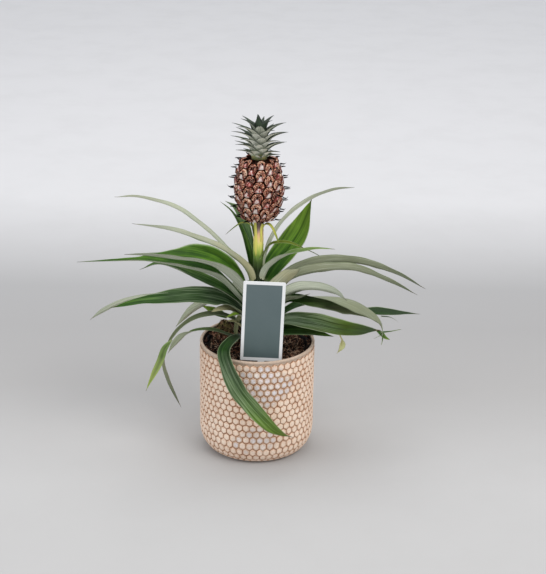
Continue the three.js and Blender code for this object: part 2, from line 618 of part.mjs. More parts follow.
addPiece("pot", makePot(), COLOURS.pot, 0.85);
addPiece("nursery_pot", makeNurseryPot(), COLOURS.nursery, 0.4);
addPiece("soil", makeSoil(), COLOURS.soil, 1);
addPiece("stem", makeStem(), COLOURS.stem, 0.6);
for (const [name, leaf] of makeLeaves()) {
  const silver = SILVER_LEAVES.includes(name);
  addPiece(name, leaf, silver ? COLOURS.leafSilver : COLOURS.leafDeep, 0.45);
}
addPiece("fruit", makeFruit(), COLOURS.fruit, 0.5);
addPiece("crown", makeCrown(), COLOURS.crown, 0.6);
addPiece("label", makeLabel(), COLOURS.label, 0.5);

export default plant;
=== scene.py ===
import math

import bpy
import numpy as np
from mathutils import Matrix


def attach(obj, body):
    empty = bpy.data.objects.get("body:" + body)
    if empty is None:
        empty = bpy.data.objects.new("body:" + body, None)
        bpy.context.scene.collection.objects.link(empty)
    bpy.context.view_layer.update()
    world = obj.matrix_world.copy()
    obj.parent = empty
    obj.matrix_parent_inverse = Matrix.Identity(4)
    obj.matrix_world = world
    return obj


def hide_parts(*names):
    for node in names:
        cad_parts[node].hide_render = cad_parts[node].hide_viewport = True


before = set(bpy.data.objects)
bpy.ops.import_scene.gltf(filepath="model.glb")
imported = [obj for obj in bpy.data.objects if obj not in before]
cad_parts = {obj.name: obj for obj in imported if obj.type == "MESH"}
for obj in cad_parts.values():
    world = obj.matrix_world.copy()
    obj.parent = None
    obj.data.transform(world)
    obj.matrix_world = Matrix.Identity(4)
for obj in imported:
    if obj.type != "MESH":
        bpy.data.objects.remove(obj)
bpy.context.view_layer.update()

MM = 0.001
TURN = 2 * math.pi
UP = np.array([0.0, 0.0, 1.0])
scene = bpy.context.scene

# Studio, in metres and degrees: the photo's camera, and lights as name, place, size, power, tint
CAMERA_PLACE = (0, -1.6444, 0.8581)
CAMERA_TURN = (68.403, -0.781, -0.325)
LENS, SENSOR = 92.26, 36
LIGHTS = [
    ("key", (1.5, -1.5, 2.3), (1.6, 1.2), 42, (1, 0.985, 0.96)),
    ("fill", (-2.0, -1.2, 1.5), (1.8, 1.4), 18, (0.96, 0.98, 1)),
    ("top", (-0.2, 0.7, 2.6), (2.2, 1.6), 34, (1, 1, 1)),
]
LIGHT_AIM = (0, 0, 0.2)
SKY_TINT, SKY_STRENGTH = (0.93, 0.95, 1), 0.62
FLOOR_REACH = 9

# Pot, growing pot and soil, as in the solids
POT_RADIUS = 70
POT_HEIGHT = 139
POT_WALL = 3.7
POT_FLOOR = 6
FOOT_RADIUS = 52
FOOT_ROUND = 29
LIP_BAND = 4
LIP_FOOT = POT_HEIGHT - LIP_BAND
TILE_COLUMNS = 52
TILE_ROWS = 18
TILE_RELIEF = 1.0
# Rings of a tile: scale, depth under the wall, raised share, and how round the hexagon is
TILE_RINGS = [(1, TILE_RELIEF, 0, 0), (0.94, TILE_RELIEF * 0.8, 0.12, 0.05),
              (0.88, TILE_RELIEF * 0.3, 0.5, 0.1), (0.8, 0.1, 0.85, 0.25), (0.62, 0, 1.25, 0.5),
              (0.34, 0.03, 1.9, 0.7)]

NURSERY_TOP = 64.4
NURSERY_FOOT = 45
NURSERY_RIM = 134
NURSERY_WALL = 1.2
SOIL_TOP = 126
SOIL_CLEARANCE = 2.8
CLUMP = (-40, 31)
LOOSE_CRUMBS, LOOSE_FIBRES, RIM_CRUMBS = 1500, 1500, 520

STEM_FOOT = 106
TRUNK_RADIUS = 9.5
TRUNK_TOP = 196
STEM_HOLE = TRUNK_RADIUS + 0.2
STEM_CLEARING = 12
STALK_RADIUS = 6
STALK_START = 212
STALK_TOP = 294.3

FRUIT_BOTTOM = 294.6
FRUIT_HEIGHT = 72.7
FRUIT_RADIUS = 26.4
EYE_COLUMNS = 14
EYES_IN_A_COLUMN = 5
EYE_RELIEF = 2.2
EYE_SPINE = 7
EYE_TWIST = 0.8
# Rings of an eye's shield: scale, height over the rind, raised share
EYE_RINGS = [(1, -0.7, 0), (0.93, -0.3, 0.05), (0.87, 1, 0.35), (0.8, 1.9, 0.8), (0.69, 2.4, 1),
             (0.56, 2.1, 0.7), (0.45, 2.15, 0.85), (0.32, 1.6, 0.6), (0.18, 1.7, 0.9)]

CROWN_BOTTOM = 367.6
CROWN_HEIGHT = 51
CROWN_BLADES = 42
# Up the crown, share against mm: how far the blades reach out and how far they rise; then a
# blade's own width along its length
CROWN_REACH = [0, 0.2, 0.45, 0.7, 0.86, 0.95, 1], [25, 31, 34, 34, 30, 19, 6]
CROWN_RISE = [0, 0.25, 0.5, 0.75, 1], [7, 16, 22, 26, 29]
CROWN_TAPER = [0, 0.3, 0.5, 0.65, 0.85, 1], [0.85, 1, 0.66, 0.36, 0.18, 0.03]

LABEL_WIDTH = 49.5
LABEL_HEIGHT = 101
LABEL_THICK = 0.8
LABEL_PLACE = (4.5, -50, 132.5)
LABEL_TILT = 2
LABEL_BORDER = 3.7
LABEL_CORNER = 1.5
SPIKE_WIDTH = 8
SPIKE_LENGTH = 42

# Leaves 1 to 29 as in the solids: azimuth, fold of each half at the midrib, slot, look, stations.
# Both texts are rows of numbers. The look's rows are light from -1 dark to 1, which in places stands
# for painted light and shade, yellow, dry point, silver on top, painted sheen or below 0 a dull dark
# tone that is partly painted shade, and buff, each one number, or several from the root to the tip,
# and 0 if left out. Each station of the midrib says how far out from the stem, up from the foot, roll,
# width, and the shift to the side where there is one.
LEAVES = [
    (238, 22, "green", "-1.3 -1.2 -0.6 0.2 0.5 0.2, 0 0 0.15 0.35, 0.9, 0, -0.6 -0.5 0.4 0.6 0.15 0",
     "5 136 0 11, 30 152 5 16 -2, 54 155 10 18, 73 147 15 21 2, 78 118 -6 25 19, 73 96 -15 25 32, "
     "61 61 -37 15 61, 28 36 -10 1 71"),
    (198, 20, "green", "-0.5, 0 0 0.2 0.4, 0.2, 0.1, -1 -0.7 -0.1 0.1, 0.3 0.15 0 0", "5 135 0 8, "
     "34 147 0 8, 59 159 -14 8 2, 80 160 10 8 2, 94 155 60 12 3, 104 146 60 11 3, 113 135 40 1 2"),
    (345, 22, "green", "-1 -0.7 -0.7 -1 -1.4, 0 0.25 0.2 0, 0.8, 0, 0 0.6 0.4 -0.05 -0.7", "5 141 0 12, "
     "32 165 15 22, 64 168 30 26, 100 164 30 26, 130 164 20 18, 152 169 0 2"),
    (338, 24, "green", "-0.6 -0.4 -0.4, 0.1, 0.2, 0, -0.1", "5 131 10 11, 22 149 10 22, 42 154 12 26, "
     "64 157 12 20, 98 159 10 1"),
    (188, 22, "green", "-0.5, 0.1, 0.3, 0.3, -0.9 -0.8 -0.5 -0.3 -0.6 -0.7, 0.3 0.2 0.2 0", "5 148 0 9, "
     "36 170 -15 9, 60 174 -20 9, 84 166 -20 8, 104 145 -10 7, 114 118 30 6, 108 88 50 6, 94 52 50 1"),
    (160, 26, "silver", "0.5, 0.5, 0.1, 0.3", "5 150 20 12, 36 174 30 14, 60 178 40 16, 86 163 60 12, "
     "108 138 60 1"),
    (220, 24, "green", "0.8, 0.5, 0.1", "5 150 0 9, 28 177 0 12, 50 180 0 1"),
    (5, 58, "green", "-0.3 -0.4 -0.8 -1.2 -1, 0.05, 0.1, 0, 0 0 -0.2 -0.25 0, 0 0 0.1 0.15 0.1",
     "5 158 10 10, 33 185 30 17, 62 192 92 26, 92 192 126 34, 118 186 146 37, 140 172 158 24, "
     "151 159 165 10, 154 146 165 1"),
    (192, 26, "green", "-0.9 -0.8 -0.3 0 -0.2, 0, 0.2, 0, 0 0.3 0.4 0.1 0", "5 156 -8 13, 30 183 -10 25, "
     "50 190.5 -28 29 -7, 76 197 -28 29 -4, 110 198.5 -27 22 -1, 138 198.5 -30 13, 158 196 -35 7, "
     "178 193 -40 1"),
    (17, 24, "green", "-0.8 -0.8 -1.3, 0, 0.1, 0, 0 -0.1 -0.7", "5 152 10 9, 30 168 10 12, 60 179 10 15, "
     "95 173 12 14, 130 160 15 14, 160 156 25 14, 184 152 20 10, 213 148 0 1"),
    (340, 24, "silver", "-0.7, 0, 0.4, 0.1, 0.2 -0.2 -0.7, 0.3 0.1 0.2", "5 166 -20 10, 34 193 -20 17, "
     "52 200 -20 14, 66 208 -20 1"),
    (178, 28, "green", "-0.5 -0.2 0 -0.2, 0.05, 0.3, 0, 0 0.1 0.15 0.1", "5 170 -5 12, 35 196 -10 20, "
     "75 217 -10 22, 115 233 0 12, 142 226 0 1"),
    (340, 26, "silver", "0.8, 0, 0.2, 0.2", "5 172 -30 11, 34 201 -50 18, 60 214 -60 19, 90 215 -60 15, "
     "112 206 -50 3"),
    (186, 34, "green", "-0.5 -0.1 0.2 0, 0.05, 0.2", "5 170 5 13, 24 194 5 20, 52 222 5 26, 90 235 -5 30, "
     "125 243 -8 22, 150 245 -8 9, 214 245 0 1"),
    (329, 24, "silver", "0.4, 0.2, 0, 0.2, 0, 0.7", "5 181 -20 11, 22 207 -40 21, 40 228 -50 20, "
     "50 236 -50 11, 58 242 -50 1"),
    (345, 30, "silver", "-0.9, 0.1, 0.3, 0.2, -0.1 0 0 -0.2 -0.8, 0.12", "5 188 -30 11, 36 219 -50 17, "
     "72 236 -60 18, 118 242 -60 15, 160 231 -50 10, 193 219 -40 1"),
    (203, 40, "green", "0.7 0.6 0.2 0, 0.05, 0.2", "5 180 0 14, 16 196 -4 28, 30 216 -13 42, 52 238 -16 48, "
     "76 250 -15 44, 105 257 -8 26, 135 265 20 10, 166 271 40 1"),
    (352, 30, "silver", "-0.9, 0.1, 0.3, 0.2, -0.1 0 0 -0.2 -0.8, 0.1", "5 195 -30 11, 30 219 -50 17, "
     "62 238 -60 20, 110 246 -60 17, 160 236 -50 11, 200 218 -40 1"),
    (203, 28, "silver", "1.6 1.3 0.9, 0.8 0.5 0.3 0.1, 0.2, 0.2, 0, 1 0.5 0.1 0", "5 198 20 12, "
     "14 230 30 15, 40 257 40 12, 76 278 45 11, 112 294 45 9, 156 307 40 1"),
    (330, 30, "green", "0.6, 0.3, 0.5, 0.3, 0.3", "5 210 -10 11, 12 230 -20 15, 24 244 -20 15, 40 256 5 13, "
     "56 263 25 9, 78 271 25 4, 102 275 20 1"),
    (162, 28, "silver", "1.9, 0.3, 0.2, 0.2, 0, 0.15", "5 208 40 9, 19 232 50 11, 43 253 60 9, 66 272 65 9, "
     "102 294 63 9, 149 303 54 6, 184 300 40 1"),
    (35, 20, "green", "-0.1 0.5 0.7, 0.2, 0.3", "5 206 20 12, 27 232 25 30, 47 251 30 33, 63 271 30 26, "
     "78 304 20 1"),
    (22, 28, "silver", "0.3, 0.05, 0.2, 0.3, 0, 0.1", "6 210 0 8, 11 250 -30 12, 31 286 -40 13, "
     "65 309 -45 11, 96 318 -40 8, 124 319 -30 1"),
    (130, 28, "green", "0 0 -0.5, 0.1, 0.2, 0.1", "6 208 -10 8, 14 235 -10 9, 20 252 -10 9.5, 30 270 -10 6, "
     "48 288 -15 3, 72 296 -10 1"),
    (108, 28, "green", "-0.3, 0.1, 0.2, 0.1, 0.1", "5 200 0 9, 40 252 0 14, 80 276 0 12, 138 272 0 1"),
    (20, 24, "withered", "1.6, 1, 0.2", "5 141 0 10, 45 157 0 12, 80 149 0 10, 103 135 0 7, 111 124 0 5, "
     "113 113 -60 8, 106 104 -60 1"),
    (80, 26, "green", "-0.1, 0.1, 0.3, 0, 0 0.3 0.5 0.1", "5 150 0 12, 40 174 0 20, 85 171 0 22, "
     "125 140 0 16, 145 95 0 1"),
    (102, 26, "green", "0, 0.1, 0.3, 0, 0 0.3 0.4 0.1", "5 164 0 12, 45 184 0 22, 92 176 0 23, "
     "130 142 0 16, 150 98 0 1"),
    (130, 24, "green", "-0.2, 0.2, 0.4, 0, 0 0.3 0.3 0.1", "5 142 0 11, 24 156 0 14, 45 168 0 17, "
     "68 172 0 17, 100 163 0 13, 126 152 0 1"),
]

# Small leaves and sheaths of the stalk: azimuth, fold, light along the blade, stations
BRACTS = [
    (355, 24, "-0.7 -0.6 -0.7 -1 -1.4", "2 242 0 5 -3, 13 261 0 7 -3, 23 265 10 7.5 -2, 34 265 15 6.5, "
     "45 262 10 5, 55 258 0 2.6, 67 253 0 2.2, 83 244 0 1"),
    (190, 24, "1.5 0.8 -0.6 -1.2", "2 274 0 5, 10 287 0 5, 20 289 0 4, 29 284 0 2.6, 39 276 0 1"),
    (335, 24, "1.6 1.2 0.6 -1", "4 276 0 4, 8 287 0 7, 15 287 0 7, 22 276 0 5, 27 264 0 1"),
    (200, 30, "-0.8 -1 -0.6", "4 266 0 3, 6.6 276 0 5, 9 287 0 7, 12 297 0 2"),
    (80, 24, "1.2 0.6 -0.4", "2 270 0 5, 9 282 0 7, 22 288 0 5, 36 280 0 1"),
    (238, 30, "1.2 1.9 1.7", "4 244 0 2, 6.8 256 0 4, 6.9 274 0 4.5, 8.5 292 0 4, 9 297 0 1"),
    (305, 30, "1.2 2 1.4", "4 262 0 2, 6.6 272 0 3, 7 284 0 4, 10 294 0 1"),
    (120, 30, "1.2 1.7 1.4", "4 256 0 3, 6.8 266 0 6, 8 284 0 6, 12 295 0 1"),
]

# Torn strips and frayed tips: number of the leaf, azimuth, fold, look, stations
SHREDS = [
    (9, 192, 20, "0.6, 0.1, 0.4", "92 201 10 2 -8, 110 203 40 5 -7, 135 203 55 6 -5, 161 199 60 8 -3, "
     "183 191 60 9 -1, 202 180 60 1"),
    (2, 198, 20, "1, 0.7, 0.2, 0.2, 0.2, 0.2", "107 151 -50 2, 116 141 -60 8, 122 125 -60 9, 130 109 -50 7, "
     "140 88 0 1"),
    (6, 160, 24, "0.6, 0.6", "38 163 -30 6 4, 54 168 -40 11 4, 71 173 -40 1 3"),
    (6, 195, 24, "-0.3, 0, 0.5, 0.9, 0, 0.6", "18 172 -20 8, 34 181 -20 10, 46 183 -30 8, 58 180 -30 2"),
    (7, 209, 30, "-0.6, 0, 1, 0, -0.4, 0.55", "9 158 0 6, 18 173 0 8, 26 169 -20 8, 29 154 -30 6, "
     "27 139 -30 2"),
    (7, 215, 30, "-0.2, 0, 0.5, 0.5, 0, 1", "9 146 0 9, 20 156 0 9, 32 168 -10 8, 45 173 -10 2"),
    (3, 345, 20, "0.4, 0.3, 0.2, 0.3", "146 168 20 2, 152 164 30 7, 157 160 30 5, 163 158 30 1"),
    (3, 345, 10, "-0.2, 0.3, 0.6, 0.3", "152 166 20 3, 164 169 20 1.6, 176 173 20 1"),
    (3, 345, 10, "0.2, 0.4, 0.4, 0.3", "154 164 20 4, 154 156 20 2, 153 150 20 1"),
    (3, 345, 10, "0.2, 0.4, 0.2, 0.3", "154 164 20 4, 148 160 20 3, 144 157 20 1"),
    (3, 345, 10, "0.2, 0.3, 0.2, 0.3", "154 163 20 4, 154 170 20 2, 153 177 20 1"),
    (10, 17, 10, "-0.6, 0, 0.9", "160 152 0 3 -3, 173 149 0 2 -3, 182 143 0 1 -3"),
]


# ---- camera and light

def add_object(name, data):
    made = bpy.data.objects.new(name, data)
    scene.collection.objects.link(made)
    return made


def make_camera():
    data = bpy.data.cameras.new("camera")
    data.lens, data.sensor_width, data.clip_end = LENS, SENSOR, 40
    camera = scene.camera = add_object("camera", data)
    camera.location = CAMERA_PLACE
    camera.rotation_euler = [math.radians(v) for v in CAMERA_TURN]


def make_lights():
    for name, place, size, power, tint in LIGHTS:
        data = bpy.data.lights.new(name, "AREA")
        data.shape = "RECTANGLE"
        data.size, data.size_y = size
        data.energy, data.color = power, tint
        lamp = add_object(name, data)
        lamp.location = place
        x, y, z = np.subtract(place, LIGHT_AIM)
        lamp.rotation_euler = (math.atan2(math.hypot(x, y), z), 0, math.atan2(x, -y))
    scene.world = bpy.data.worlds.new("studio")
    scene.world.use_nodes = True
    sky = scene.world.node_tree.nodes["Background"].inputs
    sky["Color"].default_value = (*SKY_TINT, 1)
    sky["Strength"].default_value = SKY_STRENGTH


# ---- material building

def operation(name, swapped=False):
    """A method that adds a math node to the value's look"""
    def method(value, *others):
        inputs = (*others, value) if swapped else (value, *others)
        return value.look.node("Math", inputs, operation=name)
    return method


class Value:
    """An output of a look's nodes. Sums with it and the like add math nodes."""
    __add__, __radd__ = operation("ADD"), operation("ADD", True)
    __sub__, __rsub__ = operation("SUBTRACT"), operation("SUBTRACT", True)
    __mul__, __truediv__ = operation("MULTIPLY"), operation("DIVIDE")
    __abs__, at_least, fract = operation("ABSOLUTE"), operation("MAXIMUM"), operation("FRACT")
    sine, root = operation("SINE"), operation("SQRT")

    def __init__(self, look, socket):
        self.look, self.socket = look, socket


class Look:
    """A Principled material and its nodes."""

    def __init__(self, name, shine=0.5):
        self.material = bpy.data.materials.new(name)
        self.material.use_nodes = True
        self.tree = self.material.node_tree
        self.shader = self.tree.nodes["Principled BSDF"].inputs
        self.put(self.shader["Specular IOR Level"], shine)

    def put(self, socket, value):
        if isinstance(value, Value):
            self.tree.links.new(value.socket, socket)
        elif socket.type == "RGBA":
            socket.default_value = (*value, 1)
        else:
            socket.default_value = value

    def node(self, kind, values=(), output=0, **settings):
        """A new node, its inputs set in order or by name; gives one of its outputs"""
        made = self.tree.nodes.new("ShaderNode" + kind)
        for key, value in settings.items():
            setattr(made, key, value)
        for key, value in values.items() if isinstance(values, dict) else enumerate(values):
            self.put(made.inputs[key], value)
        return Value(self, made.outputs[output])

    def parts(self, vector):
        made = self.node("SeparateXYZ", [vector])
        return [Value(self, socket) for socket in made.socket.node.outputs]

    def field(self, name):
        """x, y and z of a vector stored on the mesh"""
        return self.parts(self.node("Attribute", output="Vector", attribute_name=name))

    def place(self):
        """The point in millimetres"""
        spot = self.node("TexCoord", output="Object")
        return self.node("VectorMath", {0: spot, "Scale": 1 / MM}, operation="SCALE")

    def finish(self, colour, roughness, normal=None):
        self.put(self.shader["Base Color"], colour)
        self.put(self.shader["Roughness"], roughness)
        if normal:
            self.put(self.shader["Normal"], normal)
        return self.material


def span(value, low, high, to_low=0, to_high=1, kind="SMOOTHSTEP"):
    """The value's range low..high eased into to_low..to_high"""
    return value.look.node("MapRange", (value, low, high, to_low, to_high), interpolation_type=kind)


def mix(share, first, second):
    return share.look.node("Mix", {0: share, 6: first, 7: second}, 2, data_type="RGBA")


def layers(colour, *coats):
    """Coats of (share, colour) one over another"""
    for share, coat in coats:
        colour = mix(share, colour, coat)
    return colour


def ramp(value, *stops):
    """Stops of (position, *colour)"""
    made = value.look.node("ValToRGB", [value])
    elements = made.socket.node.color_ramp.elements
    while len(elements) < len(stops):
        elements.new(0.5)
    for element, (position, *colour) in zip(elements, stops):
        element.position, element.color = position, (*colour, 1)
    return made


def vector(x, y, z):
    return x.look.node("CombineXYZ", (x, y, z))


def noise(spot, scale, detail, roughness=0.5, distortion=0):
    inputs = {"Vector": spot, "Scale": scale, "Detail": detail, "Roughness": roughness}
    return spot.look.node("TexNoise", inputs | {"Distortion": distortion})


def bump(height, strength, depth, under=None):
    inputs = {"Strength": strength, "Distance": depth, "Height": height}
    return height.look.node("Bump", inputs | ({"Normal": under} if under else {}))


def leaf_look(name, top_dark, top_mid, top_light, under_low, under_high, roughness=0.42):
    """Waxy blade: lengthwise streaks above, silver scurf below, pale margins, dry point, painted sheen
    above and a dull dark tone that is partly painted shade. Reads blade (across mm, along mm, seed),
    share (across -1..1, along 0..1, under 0..1), tone (light, yellow, dry), and a second vector of
    silver, painted sheen (below 0 a dull dark tone, partly painted shade) and buff."""
    look = Look(name, 0.1)
    across, along, seed = look.field("blade")
    side, share, under = look.field("share")
    light, yellow, dry = look.field("tone")
    silver, painted_sheen_and_dull_shade, buff = look.field("bloom")
    seed = seed * 7.3
    edge = abs(side)

    def streaks(width, length, detail=2, rough=0.55):
        return noise(vector(across / width, along / length, seed), 1, detail, rough)

    broad, fine = streaks(4.5, 90, 3), streaks(0.9, 60)
    hair, patch = streaks(0.32, 25), streaks(14, 26)
    tone = broad * 0.3 + fine * 0.42 + 0.14 + light * 0.15 + (patch - 0.5) * 0.25
    # Painted sheen: pale streaks laid on the top face where the sheen value is above 0.
    painted_sheen_streaks = span(fine * 0.6 + hair * 0.4 + (broad - 0.5) * 0.5, 0.35, 0.75)
    yellowing = yellow * span(share + edge * 0.25, 0.35, 1.1) * span(fine, 0.3, 0.6, 0.55, 1)
    top = layers(
        ramp(tone, (0.3, *top_dark), (0.5, *top_mid), (0.72, *top_light)),
        ((1 - span(edge, 0, 0.16)) * 0.35, top_dark),
        (silver * span(patch + fine * 0.3, 0.4, 0.85), under_low),
        (painted_sheen_streaks * painted_sheen_and_dull_shade.at_least(0), (0.47, 0.55, 0.4)), (yellowing, (0.36, 0.46, 0.06)))
    scurf = fine * 0.5 + hair * 0.5 + light * 0.15
    lines = abs((across * 3.6).sine())
    below = layers(
        mix(span(scurf, 0.32, 0.7), under_low, under_high), (yellowing * 0.5, (0.42, 0.48, 0.2)),
        (span(lines, 0, 0.35, 0.35, 0), under_low),
        # Painted shade: the underside darkens toward the tip, less on yellow leaves.
        (span(share, 0.55, 1, 0, 0.55) * (1 - yellow), (0.17, 0.2, 0.14)))
    # Where the sheen value is below 0: a dull dark green, partly the leaf's own dull tone and partly painted
    # shade.
    dull_and_painted_shade = (painted_sheen_and_dull_shade * -1).at_least(0) * span(patch, 0.2, 0.7, 0.75, 1)
    point = span(share + fine * 0.08, 0.97, 1.03)
    scars = span(streaks(2.2, 7, 4, 0.7), 0.7, 0.78)
    colour = layers(
        mix(under, top, below), (buff * span(patch + hair * 0.3, 0.35, 0.8, 0.35, 1), (0.6, 0.54, 0.3)),
        (dull_and_painted_shade, (0.05, 0.075, 0.04)), (span(share, 0, 0.08, 0.6, 0), (0.4, 0.41, 0.24)),
        (span(edge + hair * 0.04, 0.93, 1, 0, 0.6), mix(under, (0.42, 0.5, 0.3), (0.12, 0.14, 0.08))),
        ((dry + 0.25) * point, (0.1, 0.065, 0.035)), (scars * 0.3, (0.34, 0.33, 0.2)))
    height = (across * 5.2).sine() * 0.25 + (fine + hair * 0.6)
    gloss = roughness + under * 0.18 + (broad - 0.5) * 0.25
    return look.finish(colour, gloss, bump(height, 0.35, 0.0004))


def pot_look():
    """Pale pink clay glaze over orange-brown clay, with a worn whitewash on some raised tiles at the sides
    and back, painted reflection whitening raised tiles at the front, a painted highlight on the tile tops
    and painted shade inside the pot.
    Reads relief (raised 0..1, seed of the tile, 1 on the lip and 2 inside the pot)."""
    look = Look("pot_clay_wash_painted_light", 0.3)
    raised, seed, plain = look.field("relief")
    spot = look.place()
    x, y, z = look.parts(spot)
    grain, cloud, speck = noise(spot, 1.6, 5, 0.65), noise(spot, 0.035, 3, 0.6), noise(spot, 0.55, 3, 0.6)

    def region(middle, radius):
        wide, tall = (x - middle[0]) / radius[0], (z - middle[1]) / radius[1]
        return span(wide * wide + tall * tall, 0.3, 1.5, 1, 0)

    clay = ramp(
        grain * 0.5 + speck * 0.5, (0.25, 0.08, 0.03, 0.01), (0.48, 0.26, 0.1, 0.03),
        (0.78, 0.55, 0.26, 0.09))
    body = ramp(
        cloud * 0.3 + speck * 0.7, (0.32, 0.52, 0.3, 0.19), (0.48, 0.79, 0.53, 0.37),
        (0.64, 0.96, 0.78, 0.63))
    band = ramp(
        speck * 0.6 + grain * 0.4, (0.3, 0.44, 0.32, 0.24), (0.6, 0.6, 0.47, 0.37), (0.8, 0.72, 0.6, 0.5))
    wash_and_reflection_white = ramp((seed * 7).fract(), (0.2, 0.8, 0.76, 0.8), (0.6, 0.88, 0.78, 0.8), (0.9, 0.92, 0.82, 0.76))
    # Painted reflection: raised tiles whitened in two patches on the front; at the sides and back a cloudy
    # whitewash.
    wash_and_painted_reflection = region((8, 106), (36, 30)).at_least(region((-2, 34), (30, 24)) * 0.7) * span(y, -50, -30, 1, 0)
    behind = span(cloud, 0.52, 0.68) * span(y, -10, 30)
    wash_and_painted_reflection = wash_and_painted_reflection.at_least(behind * 0.8) + (seed - 0.5) * 0.5
    patchy = span(wash_and_painted_reflection, 0.35, 1) * span(speck, 0.36, 0.56, 0.35, 1)
    # The raised share with noise: it sets clay in the grooves against glaze on the tiles, and gives a painted
    # highlight on the highest tile tops.
    wear_and_painted_highlight = raised + (speck - 0.5) * 0.3 + (grain - 0.5) * 0.3
    colour = layers(
        mix(span(wear_and_painted_highlight, 0.14, 0.58), clay, body), (span(wear_and_painted_highlight, 0.75, 1.6, 0, 0.5), (1, 0.88, 0.76)),
        # Painted shade: a grey ring on the tile slopes round the whitened tile tops.
        (span(wash_and_painted_reflection, 0.35, 0.8) * span(wear_and_painted_highlight, 0.5, 0.9, 0, 0.55), (0.4, 0.31, 0.25)),
        (span(wear_and_painted_highlight, 0.95, 1.6) * patchy, wash_and_reflection_white), (plain, band),
        # Painted shade: the inside of the pot turned near black.
        (span(plain, 1.2, 1.8), (0.045, 0.026, 0.018)),
        (span(noise(spot, 0.09, 4, 0.7), 0.58, 0.75, 0, 0.2), (0.34, 0.25, 0.18)))
    normal = bump(speck, 0.25, 0.0008, bump(grain, 0.3, 0.0004))
    return look.finish(colour, span(grain, 0.3, 0.7, 0.6, 0.85), normal)


def nursery_look():
    look = Look("black_growing_pot", 0.4)
    spot = look.place()
    scuff, grit = noise(spot, 0.25, 5, 0.7), noise(spot, 2.4, 3, 0.6)
    colour = mix(span(scuff, 0.5, 0.75, 0, 0.7), (0.012, 0.012, 0.014), (0.075, 0.068, 0.06))
    return look.finish(colour, span(scuff, 0.3, 0.7, 0.38, 0.62), bump(grit, 0.2, 0.0002))


def soil_look():
    """Reads crumb (kind 0 peat, 1 bark, 2 moss; seed)."""
    look = Look("potting_soil", 0.2)
    kind, seed, _ = look.field("crumb")
    spot = look.place()
    lump, grit = noise(spot, 0.28, 5, 0.7), noise(spot, 1.7, 4, 0.7)
    peat = ramp(
        lump * 0.5 + grit * 0.5, (0.3, 0.002, 0.001, 0.001), (0.52, 0.01, 0.005, 0.003),
        (0.75, 0.07, 0.032, 0.018))
    bark = ramp(
        seed * 0.7 + grit * 0.3, (0.1, 0.004, 0.002, 0.001), (0.46, 0.035, 0.012, 0.007),
        (0.7, 0.2, 0.085, 0.045), (0.92, 0.62, 0.43, 0.3))
    moss = ramp(
        seed * 0.6 + grit * 0.4, (0.1, 0.025, 0.02, 0.008), (0.45, 0.1, 0.085, 0.03),
        (0.72, 0.3, 0.25, 0.09), (0.9, 0.42, 0.3, 0.14), (0.97, 0.36, 0.06, 0.04))
    colour = layers(peat, (span(kind, 0.2, 0.8), bark), (span(kind, 1.2, 1.8), moss))
    normal = bump(lump, 0.6, 0.002, bump(grit, 0.8, 0.0008))
    return look.finish(colour, span(grit, 0.3, 0.8, 0.95, 0.7), normal)


def stalk_look():
    """Stalk colours by height. Reads blade (turn mm, height mm, seed)."""
    look = Look("stalk_skin", 0.4)
    across, height, seed = look.field("blade")
    streak = noise(vector(across / 1.1, height / 16, seed), 1, 3, 0.6)
    mottle = noise(look.place(), 0.4, 3, 0.6)
    share = span(height + (streak - 0.5) * 14, 205, 292, kind="LINEAR")
    colour = ramp(
        share, (0, 0.012, 0.018, 0.005), (0.3, 0.02, 0.034, 0.008), (0.41, 0.06, 0.11, 0.02),
        (0.49, 0.16, 0.27, 0.04), (0.58, 0.48, 0.58, 0.11), (0.67, 0.82, 0.76, 0.2),
        (0.75, 0.95, 0.7, 0.28), (0.82, 0.88, 0.55, 0.32), (0.87, 0.48, 0.32, 0.28),
        (0.93, 0.22, 0.145, 0.14), (1, 0.13, 0.09, 0.085))
    colour = layers(
        colour, (span(streak, 0.58, 0.75, 0, 0.55) * span(share, 0.35, 0.6), (0.78, 0.78, 0.55)),
        (span(streak, 0.2, 0.4, 0.4, 0), (0.12, 0.15, 0.05)))
    return look.finish(colour, span(mottle, 0.3, 0.7, 0.42, 0.62), bump(streak + mottle * 0.4, 0.5, 0.0006))


